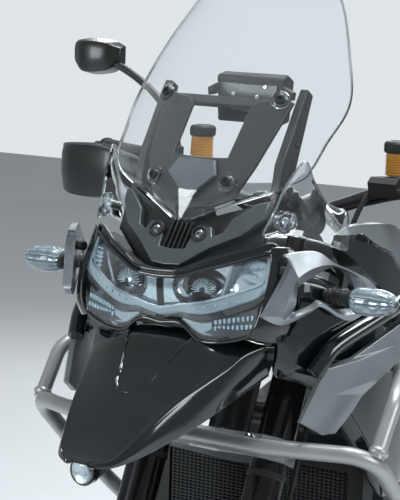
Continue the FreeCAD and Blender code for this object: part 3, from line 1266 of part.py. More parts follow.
def crash_bars(carriers):
    """Crash bars: a bow across the nose and a loop each side, mounted on frame and engine."""
    half = [(678, 140, 806), (616, 301, 804), (535, 300, 728), (440, 284, 640), (345, 226, 530), (286, 160, 474),
            (276, 146, 468)]
    run = both(reversed(half), -1) + half
    parts = [tube("bar_run", run, dims.crash_bar_radius, 55)]
    for name, side in SIDES:
        upper = both([(606, 299, 800), (556, 300, 878), (468, 262, 906), (372, 184, 894)], side)
        parts.append(tube(f"bar_branch_{name}", upper, dims.crash_bar_radius - 1, 45))
    whole = fuse("crash_bars_solid", parts)
    return cut("crash_bars", whole, fuse("crash_bar_seats", carriers))


def spot_lamps(bars):
    """Round spot lamps hung under the crash bars."""
    lamps = []
    for name, side in SIDES:
        lamp = new_body(f"spot_body_{name}")
        r = dims.spot_lamp_radius
        revolve(lamp, "XY_Plane", [(0, 0), (r, 0), (r + 2, 2), (r + 2, 14), (r, 16), (r - 6, 42), (r - 12, 50), (0, 50)])
        lamp.Placement = Placement(Vector(548, 257 * side, 678), Rotation(Vector(0, 0, 1), 90))
        clamp = cylinder(f"spot_clamp_{name}", (512, 262 * side, 678), (-0.8, 0.6 * side, 0), 9, 42)
        lamps.append(fuse(f"spot_lamp_{name}", [lamp, clamp]))
    return cut("spot_lamps", gather("spot_lamps_blank", lamps), bars)


def build():
    front_wheel()
    rear_wheel()
    fork_legs()
    yoke("lower_yoke", dims.lower_yoke_height, dims.lower_yoke_thickness, 30, 56, True)
    top_yoke = yoke("upper_yoke", dims.upper_yoke_height, dims.upper_yoke_thickness, 34, 30, False)
    bar = handlebar(top_yoke)
    hand_controls(bar)
    fluid_reservoirs()
    handguards(bar)
    mirrors(bar)
    front_mudguard()
    front_calipers()
    brake_hoses()
    frame_node = frame()
    stay = fairing_stay(frame_node)
    rails = subframe(frame_node)
    case, block = engine()
    airbox()
    sump_guard()
    radiator()
    exhaust(block)
    swingarm_group(frame_node)
    footrests()
    centre_stand()
    side_stand()
    tank_and_seats(frame_node, rails)
    tail_group(rails)
    headlamp()
    screen_group(nose_cowl(stay), stay)
    beak()
    bars = crash_bars([frame_node, case])
    fairings = side_fairings(bars)
    tank_shrouds()
    front_indicators([wing_panels(fairings), fairings])
    spot_lamps(bars)


NODES = [
    "frame", "fairing_stay", "rear_subframe", "engine_case", "cylinder_block", "airbox", "sump_guard", "radiator",
    "exhaust_pipes", "silencer", "swingarm", "final_drive", "rear_caliper", "rear_shock", "footrests", "fuel_tank",
    "seat_rider", "seat_pillion", "tail_panels", "luggage_rack", "rear_mudguard", "number_plate", "tail_lamp",
    "rear_indicators", "headlamp_body", "headlamp_lens", "nose_cowl", "windscreen", "screen_frame",
    "instrument_panel", "wind_deflectors", "beak", "side_fairings", "tank_shrouds", "wing_panels",
    "front_indicators", "crash_bars", "spot_lamps", "filler_cap", "centre_stand", "side_stand", "rear_rim",
    "rear_tyre", "rear_disc", "fork_legs", "lower_yoke", "upper_yoke", "handlebar", "hand_controls",
    "fluid_reservoirs", "handguards", "mirrors", "front_mudguard", "front_calipers", "brake_hoses", "front_rim",
    "front_tyre", "front_discs"]


def check_and_write():
    """Stop on any failed object, then write each node's shape."""
    doc.recompute()
    for item in doc.Objects:
        if "Invalid" in item.State or "Error" in item.State:
            raise RuntimeError(f"{item.Label}: {item.State}")
    os.makedirs("parts", exist_ok=True)
    made = {item.Label: item.Shape for item in doc.Objects if item.Label in NODES}
    broken = [node for node in NODES if node not in made or made[node].isNull() or not made[node].isValid()]
    if broken:
        raise RuntimeError(f"no valid shape: {broken}")
    for node in NODES:
        made[node].exportStep(f"parts/{node}.step")


build()
check_and_write()
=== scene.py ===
"""Looks of the adventure motorcycle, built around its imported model. Metres, +X forward, +Y left, +Z up."""
import math

import bmesh
import bpy
import numpy as np
from mathutils import Matrix, Vector


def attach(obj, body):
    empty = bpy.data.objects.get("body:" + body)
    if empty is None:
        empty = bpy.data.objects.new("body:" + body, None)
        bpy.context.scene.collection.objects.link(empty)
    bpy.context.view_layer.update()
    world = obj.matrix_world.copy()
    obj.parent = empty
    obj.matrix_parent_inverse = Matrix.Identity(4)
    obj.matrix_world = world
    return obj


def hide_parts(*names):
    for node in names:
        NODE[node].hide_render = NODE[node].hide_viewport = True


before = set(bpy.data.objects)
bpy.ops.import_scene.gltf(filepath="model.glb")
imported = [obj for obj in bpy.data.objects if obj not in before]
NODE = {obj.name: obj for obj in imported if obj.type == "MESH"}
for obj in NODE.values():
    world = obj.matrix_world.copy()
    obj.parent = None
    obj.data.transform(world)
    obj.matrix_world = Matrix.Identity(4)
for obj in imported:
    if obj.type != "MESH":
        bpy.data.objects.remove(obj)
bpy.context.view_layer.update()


# Materials

def new_material(name):
    material = bpy.data.materials.new(name)
    material.use_nodes = True
    tree = material.node_tree
    return material, tree, tree.nodes["Principled BSDF"]


def link(tree, a, b):
    tree.links.new(a, b)


def object_coords(tree, scale=(1, 1, 1)):
    coords = tree.nodes.new("ShaderNodeTexCoord")
    mapping = tree.nodes.new("ShaderNodeMapping")
    mapping.inputs["Scale"].default_value = scale
    link(tree, coords.outputs["Object"], mapping.inputs["Vector"])
    return mapping.outputs["Vector"]


def noise(tree, vector, scale, detail=3.0, rough=0.55):
    node = tree.nodes.new("ShaderNodeTexNoise")
    node.inputs["Scale"].default_value = scale
    node.inputs["Detail"].default_value = detail
    node.inputs["Roughness"].default_value = rough
    link(tree, vector, node.inputs["Vector"])
    return node.outputs["Fac"]


NOISE_LOW, NOISE_HIGH = 0.3, 0.7  # what a noise texture mostly lies between


def spread(tree, value, low, high):
    node = tree.nodes.new("ShaderNodeMapRange")
    node.inputs["From Min"].default_value = NOISE_LOW
    node.inputs["From Max"].default_value = NOISE_HIGH
    node.inputs["To Min"].default_value = low
    node.inputs["To Max"].default_value = high
    link(tree, value, node.inputs["Value"])
    return node.outputs["Result"]


def blend_colour(tree, factor, low, high):
    ramp = tree.nodes.new("ShaderNodeValToRGB")
    for element, colour, position in zip(ramp.color_ramp.elements, (low, high), (NOISE_LOW, NOISE_HIGH)):
        element.color = (*colour, 1)
        element.position = position
    link(tree, factor, ramp.inputs["Fac"])
    return ramp.outputs["Color"]


def bump(tree, shader, height, strength, distance):
    node = tree.nodes.new("ShaderNodeBump")
    node.inputs["Strength"].default_value = strength
    node.inputs["Distance"].default_value = distance
    link(tree, height, node.inputs["Height"])
    link(tree, node.outputs["Normal"], shader.inputs["Normal"])


def surface(
        name, colour, metallic=0.0, rough=(0.3, 0.4), coat=0.0, grain=900.0, relief=0.15, depth=0.0002,
        vary=0.12, blotch=14.0):
    """Paint, plastic or metal: two close colours in soft patches, uneven gloss and a fine grain."""
    material, tree, shader = new_material(name)
    where = object_coords(tree)
    soft = noise(tree, where, blotch)
    low = tuple(c * (1 - vary) for c in colour)
    high = tuple(min(1, c * (1 + vary) + 0.002) for c in colour)
    link(tree, blend_colour(tree, soft, low, high), shader.inputs["Base Color"])
    link(tree, spread(tree, noise(tree, where, blotch * 2.3, 5), *rough), shader.inputs["Roughness"])
    shader.inputs["Metallic"].default_value = metallic
    shader.inputs["Coat Weight"].default_value = coat
    shader.inputs["Coat Roughness"].default_value = 0.06
    bump(tree, shader, noise(tree, where, grain, 2), relief, depth)
    return material


def brushed(name, colour, rough=(0.22, 0.36), stretch=(4, 4, 400)):
    """Metal with fine lines along one way."""
    material, tree, shader = new_material(name)
    lines = noise(tree, object_coords(tree, stretch), 6, 6, 0.7)
    low = tuple(c * 0.86 for c in colour)
    link(tree, blend_colour(tree, lines, low, colour), shader.inputs["Base Color"])
    link(tree, spread(tree, lines, *rough), shader.inputs["Roughness"])
    shader.inputs["Metallic"].default_value = 1.0
    bump(tree, shader, lines, 0.12, 0.0002)
    return material


def clear(name, tint, rough=0.02, shade=0.9, scratch=0.03):
    """Clear plastic that lets the lamps' light through to what is behind it."""
    material, tree, shader = new_material(name)
    shader.inputs["Base Color"].default_value = (*tint, 1)
    shader.inputs["Transmission Weight"].default_value = 1.0
    shader.inputs["IOR"].default_value = 1.47
    where = object_coords(tree)
    link(tree, spread(tree, noise(tree, where, 60, 5), rough, rough + scratch), shader.inputs["Roughness"])
    through = tree.nodes.new("ShaderNodeBsdfTransparent")
    through.inputs["Color"].default_value = (shade, shade, shade, 1)
    path = tree.nodes.new("ShaderNodeLightPath")
    mix = tree.nodes.new("ShaderNodeMixShader")
    link(tree, path.outputs["Is Shadow Ray"], mix.inputs["Fac"])
    link(tree, shader.outputs["BSDF"], mix.inputs[1])
    link(tree, through.outputs["BSDF"], mix.inputs[2])
    link(tree, mix.outputs["Shader"], tree.nodes["Material Output"].inputs["Surface"])
    return material


GLOSS_BLACK = surface(
    "gloss_black_paint", (0.006, 0.008, 0.009), 0.0, (0.06, 0.14), 1.0, 260, 0.03, 0.0003, 0.3, 6)
BLACK_STEEL = surface("satin_black_steel", (0.018, 0.018, 0.02), 0.3, (0.34, 0.5), 0.1, 1500, 0.25, 0.0003)
BLACK_PLASTIC = surface(
    "grained_black_plastic", (0.014, 0.015, 0.016), 0.0, (0.48, 0.62), 0.0, 1900, 0.5, 0.0003)
SATIN_SILVER = surface(
    "satin_silver_paint", (0.30, 0.33, 0.35), 0.75, (0.30, 0.42), 0.25, 2200, 0.08, 0.0002, 0.06)
GREY_SILVER = surface(
    "satin_grey_paint", (0.13, 0.15, 0.16), 0.7, (0.34, 0.46), 0.15, 2200, 0.1, 0.0002, 0.08)
BAR_SILVER = surface(
    "silver_powder_coat", (0.42, 0.43, 0.43), 0.6, (0.32, 0.46), 0.2, 1400, 0.2, 0.0002, 0.06)
ENGINE_GREY = surface("engine_grey", (0.06, 0.065, 0.07), 0.5, (0.42, 0.58), 0.0, 700, 0.35, 0.0004)
CAST_ALLOY = surface("cast_alloy", (0.48, 0.49, 0.50), 0.9, (0.28, 0.42), 0.0, 900, 0.25, 0.0003, 0.08)
ALLOY_PLATE = brushed("brushed_alloy", (0.55, 0.56, 0.57), (0.25, 0.4), (400, 4, 4))
STAINLESS = brushed("brushed_stainless", (0.52, 0.50, 0.47), (0.22, 0.36), (300, 8, 8))
DISC_STEEL = brushed("ground_disc_steel", (0.50, 0.50, 0.51), (0.2, 0.34), (60, 200, 60))
RUBBER = surface("rubber", (0.012, 0.012, 0.013), 0.0, (0.55, 0.72), 0.0, 1200, 0.4, 0.0004)
TYRE = surface("tyre_rubber", (0.016, 0.016, 0.017), 0.0, (0.62, 0.8), 0.0, 700, 0.6, 0.0006, 0.25)
SEAT = surface("seat_vinyl", (0.013, 0.013, 0.014), 0.0, (0.45, 0.6), 0.05, 420, 0.6, 0.0012, 0.2)
CLEAR = clear("clear_screen", (0.93, 0.97, 0.98), 0.008, 0.92, 0.02)
LENS = clear("clear_lens", (0.90, 0.95, 0.97), 0.01, 0.95, 0.015)
CHROME = brushed("lamp_chrome", (0.62, 0.69, 0.73), (0.1, 0.2), (20, 20, 20))
AMBER = surface("amber_pot", (0.55, 0.25, 0.03), 0.0, (0.16, 0.26), 0.3, 300, 0.1, 0.0003)
RED_LENS = surface("red_lens", (0.35, 0.01, 0.012), 0.0, (0.1, 0.2), 0.6, 200, 0.2, 0.0004)
PLATE_WHITE = surface("blank_plate", (0.72, 0.72, 0.70), 0.0, (0.35, 0.45), 0.1, 1200, 0.1, 0.0002, 0.03)
FORK_BLACK = surface("fork_black", (0.012, 0.012, 0.014), 0.6, (0.16, 0.26), 0.4, 900, 0.05, 0.0002)
SCREW = surface("screw_steel", (0.45, 0.45, 0.46), 1.0, (0.2, 0.32), 0.0, 900, 0.1, 0.0002)
SATIN_BLACK = surface("satin_black_plastic", (0.012, 0.013, 0.014), 0.0, (0.26, 0.36), 0.2, 900, 0.12, 0.0002)
GREY_PLASTIC = surface("grey_plastic", (0.07, 0.08, 0.085), 0.2, (0.36, 0.46), 0.1, 1200, 0.15, 0.0002)
LAMP_BLACK = surface("lamp_black", (0.02, 0.02, 0.022), 0.2, (0.2, 0.3), 0.2, 900, 0.1, 0.0002)
EDGE_CLEAR = clear("clear_edge", (0.80, 0.88, 0.90), 0.05, 0.7, 0.05)
LED = surface("led_lens", (0.42, 0.56, 0.66), 0.0, (0.05, 0.1), 1.0, 300, 0.05, 0.0002, 0.05)
LIGHT_GUIDE = surface("light_guide", (0.30, 0.37, 0.41), 0.1, (0.14, 0.22), 0.8, 300, 0.05, 0.0002, 0.08)
CRYSTAL = surface("crystal_lens", (0.26, 0.31, 0.34), 0.3, (0.12, 0.2), 0.7, 200, 0.05, 0.0002, 0.1)
MIRROR = brushed("mirror_glass", (0.75, 0.78, 0.8), (0.02, 0.04), (20, 20, 20))

NODE_LOOKS = (
    (BLACK_STEEL, "frame fairing_stay rear_subframe rear_caliper rear_shock footrests luggage_rack"),
    (BLACK_STEEL, "filler_cap centre_stand side_stand rear_rim handlebar front_calipers front_rim"),
    (ENGINE_GREY, "engine_case cylinder_block swingarm final_drive"),
    (BLACK_PLASTIC, "airbox radiator rear_mudguard headlamp_body screen_frame instrument_panel"),
    (BLACK_PLASTIC, "spot_lamps handguards mirrors"),
    (GLOSS_BLACK, "tail_panels beak side_fairings front_mudguard"),
    (SATIN_SILVER, "fuel_tank tank_shrouds wing_panels"), (GREY_SILVER, "nose_cowl"),
    (BAR_SILVER, "crash_bars"), (ALLOY_PLATE, "sump_guard"), (STAINLESS, "exhaust_pipes silencer"),
    (SEAT, "seat_rider seat_pillion"), (PLATE_WHITE, "number_plate"), (RED_LENS, "tail_lamp"),
    (LENS, "rear_indicators headlamp_lens front_indicators"), (CLEAR, "windscreen wind_deflectors"),
    (TYRE, "rear_tyre front_tyre"), (DISC_STEEL, "rear_disc front_discs"), (FORK_BLACK, "fork_legs"),
    (CAST_ALLOY, "lower_yoke upper_yoke"), (RUBBER, "hand_controls brake_hoses"), (AMBER, "fluid_reservoirs"))

for material, names in NODE_LOOKS:
    for node_name in names.split():
        mesh = NODE[node_name].data
        mesh.materials.clear()
        mesh.materials.append(material)


# Camera, lights and floor

CAMERA_PLACE = (3.037548, 1.601872, 1.478393)
YAW, PITCH, ROLL = -2.5565863, -0.1409563, 0.0319359


def aim_camera():
    data = bpy.data.cameras.new("camera")
    data.lens = 144.16
    data.sensor_width = 36
    data.clip_end = 60
    camera = bpy.data.objects.new("camera", data)
    bpy.context.scene.collection.objects.link(camera)
    ahead = Vector((math.cos(YAW) * math.cos(PITCH), math.sin(YAW) * math.cos(PITCH), math.sin(PITCH)))
    right = Vector((math.sin(YAW), -math.cos(YAW), 0))
    up = right.cross(ahead)
    right_rolled = right * math.cos(ROLL) + up * math.sin(ROLL)
    up_rolled = up * math.cos(ROLL) - right * math.sin(ROLL)
    turn = Matrix((right_rolled, up_rolled, -ahead)).transposed()
    camera.matrix_world = Matrix.Translation(CAMERA_PLACE) @ turn.to_4x4()
    bpy.context.scene.camera = camera


def area_light(name, place, target, size, power, colour):
    data = bpy.data.lights.new(name, "AREA")
    data.shape = "RECTANGLE"
    data.size, data.size_y = size
    data.energy = power
    data.color = colour
    lamp = bpy.data.objects.new(name, data)
    lamp.location = place
    lamp.rotation_euler = (Vector(target) - Vector(place)).to_track_quat("-Z", "Y").to_euler()
    bpy.context.scene.collection.objects.link(lamp)


LIGHTS = (  # name, place, target, size, power, colour
    ("key", (0.1, 0.5, 4.4), (0.5, 0, 0.9), (1.4, 1.4), 110, (0.95, 0.98, 1.0)),
    ("fill", (4.0, -2.0, 1.6), (0.5, 0, 0.8), (1.2, 1.4), 52, (0.92, 0.97, 1.0)),
    ("side", (0.6, 3.8, 2.4), (0.3, 0, 0.8), (1.8, 1.4), 45, (0.96, 0.98, 1.0)),
    ("top", (-0.8, 0.2, 4.2), (0, 0, 0.6), (2.6, 1.8), 80, (1, 1, 1)),
    ("rear", (-3.4, -2.0, 2.6), (-0.4, 0, 0.7), (2.0, 1.6), 60, (1, 1, 1)))
SKY = (0.78, 0.82, 0.85, 1)
SKY_SEEN, SKY_GLOSSY, SKY_LIGHT = 0.95, 0.3, 0.45  # its strength for the camera, for reflections, as light


def studio():
    scene = bpy.context.scene
    scene.view_settings.view_transform = "Standard"
    world = bpy.data.worlds.new("studio")
    scene.world = world
    world.use_nodes = True
    tree = world.node_tree
    back = tree.nodes["Background"]
    back.inputs["Color"].default_value = SKY
    path = tree.nodes.new("ShaderNodeLightPath")
    seen = tree.nodes.new("ShaderNodeMath")
    seen.operation = "MAXIMUM"
    link(tree, path.outputs["Is Camera Ray"], seen.inputs[0])
    link(tree, path.outputs["Is Transmission Ray"], seen.inputs[1])
    gloss = tree.nodes.new("ShaderNodeMapRange")
    gloss.inputs["To Min"].default_value = SKY_LIGHT
    gloss.inputs["To Max"].default_value = SKY_GLOSSY
    link(tree, path.outputs["Is Glossy Ray"], gloss.inputs["Value"])
    level = tree.nodes.new("ShaderNodeMapRange")
    level.inputs["To Max"].default_value = SKY_SEEN
    link(tree, seen.outputs["Value"], level.inputs["Value"])
    link(tree, gloss.outputs["Result"], level.inputs["To Min"])
    link(tree, level.outputs["Result"], back.inputs["Strength"])
    floor_mesh = bpy.data.meshes.new("floor")
    reach = 9
    floor_mesh.from_pydata(
        [(-reach, -reach, -0.001), (reach, -reach, -0.001), (reach, reach, -0.001), (-reach, reach, -0.001)],
        [], [(0, 1, 2, 3)])
    floor = bpy.data.objects.new("floor", floor_mesh)
    scene.collection.objects.link(floor)
    floor_mesh.materials.append(
        surface("floor_pale", (0.62, 0.65, 0.67), 0, (0.5, 0.6), 0, 40, 0.02, 0.001, 0.03, 1))
    for light in LIGHTS:
        area_light(*light)


# Mesh tools, in millimetres

def catmull_rom(padded, at):
    """Samples of the spline at the places given, in steps from its second point."""
    i = at.astype(int)
    t = (at - i).reshape((-1,) + (1,) * (padded.ndim - 1))
    a, b, c, d = padded[i], padded[i + 1], padded[i + 2], padded[i + 3]
    return 0.5 * (
        2 * b + (c - a) * t + (2 * a - 5 * b + 4 * c - d) * t ** 2 + (3 * b - a - 3 * c + d) * t ** 3)


def smooth_line(points, count):
    """A smooth line through the points, count samples, ends kept."""
    points = np.asarray(points, float)
    padded = np.concatenate([[2 * points[0] - points[1]], points, [2 * points[-1] - points[-2]]])
    return catmull_rom(padded, np.linspace(0, len(points) - 1 - 1e-9, count))


def patch(rows, along, across):
    """A smooth sheet of points through rows of points: along x across x 3."""
    sheet = smooth_line(np.asarray(rows, float), along)
    return smooth_line(sheet.transpose(1, 0, 2), across).transpose(1, 0, 2)


def whole(half):
    """Both halves of a sheet whose first column lies on the middle plane."""
    return np.concatenate([half[:, :0:-1] * np.array([1, -1, 1]), half], axis=1)


def grid_faces(along, across, closed_across=False):
    faces = []
    last = across if closed_across else across - 1
    for i in range(along - 1):
        for j in range(last):
            k = (j + 1) % across
            faces.append((i * across + j, i * across + k, (i + 1) * across + k, (i + 1) * across + j))
    return faces


def settle(piece, body, stands_for):
    """Every piece rides on its body, and the model's part that it stands for is hidden."""
    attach(piece, body)
    if stands_for:
        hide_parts(stands_for)


def make(
        name, points, faces, material, body="chassis", stands_for="", angle=38, bevel=0.0, solid=0.0,
        rounds=0):
    """One piece from points in millimetres: smooth but for sharp edges, riding on its body."""
    mesh = bpy.data.meshes.new(name)
    mesh.from_pydata([tuple(float(c) * 0.001 for c in p) for p in points], [], [tuple(f) for f in faces])
    shape = bmesh.new()
    shape.from_mesh(mesh)
    bmesh.ops.remove_doubles(shape, verts=shape.verts, dist=1e-5)
    bmesh.ops.recalc_face_normals(shape, faces=shape.faces)
    shape.to_mesh(mesh)
    shape.free()
    mesh.polygons.foreach_set("use_smooth", [True] * len(mesh.polygons))
    mesh.set_sharp_from_angle(angle=math.radians(angle))
    mesh.materials.append(material)
    piece = bpy.data.objects.new(name, mesh)
    bpy.context.scene.collection.objects.link(piece)
    if solid:
        shell = piece.modifiers.new("wall", "SOLIDIFY")
        shell.thickness = solid * 0.001
        shell.offset = -1
    if bevel:
        edge = piece.modifiers.new("edge", "BEVEL")
        edge.width = bevel * 0.001
        edge.segments = 3
        edge.angle_limit = math.radians(28)
    if rounds:
        soft = piece.modifiers.new("soft", "SUBSURF")
        soft.levels = soft.render_levels = rounds
    settle(piece, body, stands_for)
    return piece


def sheet_piece(name, sheet, material, **options):
    along, across = sheet.shape[:2]
    return make(name, sheet.reshape(-1, 3), grid_faces(along, across), material, **options)


def prism(name, front, back, material, **options):
    """A block between two outlines of as many corners."""
    count = len(front)
    faces = [tuple(range(count)), tuple(range(2 * count - 1, count - 1, -1))]
    faces += [(i, count + i, count + (i + 1) % count, (i + 1) % count) for i in range(count)]
    return make(name, list(front) + list(back), faces, material, **options)


def circle(count, start=0.0):
    """Cosine and sine at equal steps round a circle."""
    return [(math.cos(t), math.sin(t)) for t in (2 * math.pi * k / count + start for k in range(count))]


def polar(centre, c, s, along, across):
    """The place so far along a direction from the centre, and so far square to it."""
    return centre[0] + along * c - across * s, centre[1] + along * s + across * c


def rectangle(wide, tall):
    """Four corners, given half the width and half the height."""
    return [(-wide, -tall), (wide, -tall), (wide, tall), (-wide, tall)]


def both_halves(outline):
    """A closed outline from its left half, whose two ends lie on the middle plane."""
    return outline + [(-y, z) for y, z in reversed(outline[1:-1])]


def on_left(side, node):
    """The node that a pair's left piece stands for, so that it is replaced once."""
    return node if side > 0 else ""


def at_x(x, outline, side=1):
    """An outline of (y, z) set square to the machine's length."""
    return [(x, side * y, z) for y, z in outline]


def at_y(y, outline):
    """An outline of (x, z) set along the machine's length."""
    return [(x, y, z) for x, z in outline]


def frame_on(axis):
    """Two unit vectors square to an axis."""
    axis = Vector(axis).normalized()
    first = axis.orthogonal().normalized()
    return axis, first, axis.cross(first)


def turned(name, profile, centre, axis, material, count=32, **options):
    """A turned piece: (radius, along) profile about an axis through the centre."""
    axis, first, second = frame_on(axis)
    points = [
        Vector(centre) + axis * along + (first * c + second * s) * max(radius, 0.01)
        for radius, along in profile for c, s in circle(count)]
    return make(name, points, grid_faces(len(profile), count, True), material, **options)


def rod(name, points, radius, material, body="chassis", stands_for="", resolution=10):
    """A round line through control points."""
    data = bpy.data.curves.new(name, "CURVE")
    data.dimensions = "3D"
    data.bevel_depth = radius * 0.001
    data.bevel_resolution = 5
    data.use_fill_caps = True
    line = data.splines.new("NURBS")
    line.points.add(len(points) - 1)
    for knot, p in zip(line.points, points):
        knot.co = (p[0] * 0.001, p[1] * 0.001, p[2] * 0.001, 1)
    line.order_u = 3
    line.use_endpoint_u = True
    line.resolution_u = resolution
    data.materials.append(material)
    piece = bpy.data.objects.new(name, data)
    bpy.context.scene.collection.objects.link(piece)
    settle(piece, body, stands_for)
    return piece


def hex_screw(name, centre, axis, radius=5.0, material=SCREW, body="chassis"):
    """A screw's washer face, domed head and six-sided socket."""
    axis, first, second = frame_on(axis)
    rings = [
        (radius * 1.25, -1.5), (radius * 1.25, 0), (radius, 0.2), (radius, 2.6), (radius * 0.8, 3.6),
        (radius * 0.52, 3.6)]
    points = [
        Vector(centre) + axis * h + (first * c + second * s) * r for r, h in rings for c, s in circle(24)]
    flat = math.pi / 3
    for h in (3.4, 0.8):
        for k, (c, s) in enumerate(circle(24)):
            r = radius * 0.46 * math.cos(flat / 2) / math.cos((2 * math.pi * k / 24 % flat) - flat / 2)
            points.append(Vector(centre) + axis * h + (first * c + second * s) * r)
    faces = grid_faces(8, 24, True) + [tuple(range(7 * 24, 8 * 24))]
    return make(name, points, faces, material, body, angle=30)


def closed_line(points, count):
    """A smooth line round a closed loop."""
    points = np.asarray(points, float)
    padded = np.concatenate([points[-1:], points, points[:2]])
    return catmull_rom(padded, np.linspace(0, len(points), count, endpoint=False))


def split_line(points, parts):
    """A closed loop with straight runs, each in as many parts."""
    points = np.asarray(points, float)
    after = np.roll(points, -1, axis=0)
    return np.concatenate([[p + (q - p) * k / parts for k in range(parts)] for p, q in zip(points, after)])


def ring(name, loops, where, material, count, **options):
    """A hollow moulding: closed loops one after the other, the last joined to the first."""
    rows = [[where(*p) for p in closed_line(loop, count)] for loop in loops]
    faces = grid_faces(len(rows), count, True)
    last = (len(rows) - 1) * count
    faces += [(last + j, last + (j + 1) % count, (j + 1) % count, j) for j in range(count)]
    return make(name, np.array(rows).reshape(-1, 3), faces, material, **options)


def lofted(name, sections, material, along=0, around=0, parts=0, **options):
    """A closed form through sections of as many corners, its ends capped."""
    rows = np.asarray(sections, float)
    if around:
        rows = np.array([closed_line(row, around) for row in rows])
    if parts:
        rows = np.array([split_line(row, parts) for row in rows])
    if along:
        rows = smooth_line(rows, along)
    count = rows.shape[1]
    faces = grid_faces(len(rows), count, True)
    faces += [tuple(range(count))[::-1], tuple(range((len(rows) - 1) * count, len(rows) * count))]
    return make(name, rows.reshape(-1, 3), faces, material, **options)


def blocks(name, corners, material, **options):
    """Many small blocks as one piece, each given by its eight corners."""
    points, faces = [], []
    for block in corners:
        i = len(points)
        points += list(block)
        faces += [
            tuple(i + k for k in face) for face in ((0, 1, 2, 3), (7, 6, 5, 4), (0, 4, 5, 1), (1, 5, 6, 2),
            (2, 6, 7, 3), (3, 7, 4, 0))]
    return make(name, points, faces, material, **options)


def cuboid(low, high):
    (a, b, c), (d, e, f) = low, high
    return [(a, b, c), (d, b, c), (d, e, c), (a, e, c), (a, b, f), (d, b, f), (d, e, f), (a, e, f)]


SIDES = (("left", 1), ("right", -1))


# Beak

def beak_row(x, centre, wide, wide_z, low, low_z):
    drop = wide_z - centre
    return [
        (x, 0, centre), (x, 0.3 * wide, centre + 0.04 * drop), (x, 0.6 * wide, centre + 0.3 * drop),
        (x, 0.86 * wide, centre + 0.74 * drop), (x, 0.965 * wide, wide_z + 1), (x, wide, wide_z - 5),
        (x, (wide + low) / 2 + 2.5, (wide_z + low_z) / 2), (x, low + 1, low_z + 6), (x, low - 1, low_z),
        (x, low - 9, low_z + 1), (x, low - 12, low_z + 9)]


def step_in(value, low, high):
    t = np.clip((value - low) / (high - low), 0, 1)
    return t * t * (3 - 2 * t)


RECESS_X = 770  # where the sunk middle's round nose starts
RECESS_HALF, RECESS_NOSE, RECESS_FLARE = 31, 27, 0.42  # half width there, the nose's length, widening behind
BEAK_ROWS = (  # x, height of the middle, half width and its height, lower half width and its height
    (646, 957, 150, 948, 142, 902), (668, 962, 143, 948, 133, 890),
    (695, 966, 130, 938, 124, 877), (720, 958, 119, 921, 116, 864), (750, 926, 106, 904, 107, 850),
    (780, 898, 93, 887, 97, 837), (810, 872, 82, 868, 85, 825), (840, 846, 70, 845, 71, 812),
    (866, 823, 58, 823, 58, 803), (886, 809, 46, 808, 44, 797.5), (899, 803, 27, 802, 26, 796))
BEAK_ACROSS, BEAK_CROWN = 110, 62  # points across half the beak, and those on its upper face


def beak_middle(points):
    """How far inside the beak's sunk middle each point lies."""
    x, y = points[..., 0], np.abs(points[..., 1])
    nose = RECESS_HALF * np.sqrt(np.clip(1 - ((x - RECESS_X) / RECESS_NOSE) ** 2, 0, 1))
    return np.where(x < RECESS_X, RECESS_HALF + (RECESS_X - x) * RECESS_FLARE, nose) - y


def beak():
    half = patch([beak_row(*row) for row in BEAK_ROWS], 190, BEAK_ACROSS)
    border = [(x, RECESS_HALF + (RECESS_X - x) * RECESS_FLARE) for x in range(690, RECESS_X, 8)]
    border += [
        (RECESS_X + RECESS_NOSE * math.sin(t), RECESS_HALF * math.cos(t))
        for t in (math.pi / 2 * k / 7 for k in range(8))]
    crown = half[:, :BEAK_CROWN].reshape(-1, 3)
    line = []
    for x, y in border:
        near = crown[np.argmin((crown[:, 0] - x) ** 2 + (crown[:, 1] - y) ** 2)]
        line.append((x, y, near[2] - 0.4))
    line += [(x, -y, z) for x, y, z in reversed(line[:-1])]
    rod("beak_recess_edge", line, 1.3, GLOSS_BLACK)
    half[:, :BEAK_CROWN, 2] -= 4.0 * step_in(beak_middle(half[:, :BEAK_CROWN]), 0, 2.5)
    tip = half[-1].copy()
    tip[:, 0] += 3
    tip[:, 2] = tip[:, 2] * 0.35 + 799 * 0.65
    tip[:, 1] *= 0.9
    half = np.concatenate([half, tip[None]])
    full = whole(half)
    piece = sheet_piece("beak_shell", full, GLOSS_BLACK, stands_for="beak", angle=50)
    piece.data.materials.append(SATIN_BLACK)
    for face in piece.data.polygons:
        centre = np.array(face.center) * 1000
        if beak_middle(centre) > 2.6 and centre[2] > 860 and face.normal.z > 0.3:
            face.material_index = 1
    under = [
        [(x, y * 0.97, z) for x, y, z in ((x0, -w, z0), (x0, 0, z0 + 6), (x0, w, z0))]
        for x0, w, z0 in ((648, 132, 910), (668, 124, 893), (750, 98, 856), (840, 64, 815), (892, 34, 800))]
    sheet_piece("beak_underside", patch(under, 30, 12), BLACK_PLASTIC)


# Headlamp

# half width, then (x, z) of the upper and of the lower edge there
LAMP_Y = [0, 35, 66, 100, 138, 152, 164]
LAMP_TOP = [(731, 1043), (730, 1046), (719, 1057), (702, 1069), (675, 1082), (664, 1084), (660, 1074)]
LAMP_LOW = [(717, 974), (717, 976), (714, 956), (711, 957), (702, 969), (698, 984), (690, 1008)]


def lamp_edges(y):
    a = np.abs(y)
    out = []
    for table in (LAMP_TOP, LAMP_LOW):
        line = smooth_line([(w, x, z) for w, (x, z) in zip(LAMP_Y, table)], 90)
        out += [np.interp(a, line[:, 0], line[:, 1]), np.interp(a, line[:, 0], line[:, 2])]
    return out


def lamp_point(y, level, back=0.0):
    """A point of the lamp's front: level 0 at the lower edge, 1 at the top."""
    top_x, top_z, low_x, low_z = lamp_edges(y)
    bulge = 5.0 * np.sin(np.pi * np.clip(level, 0, 1))
    return np.stack(
        [low_x + (top_x - low_x) * level + bulge - back, y + 0 * level, low_z + (top_z - low_z) * level], -1)


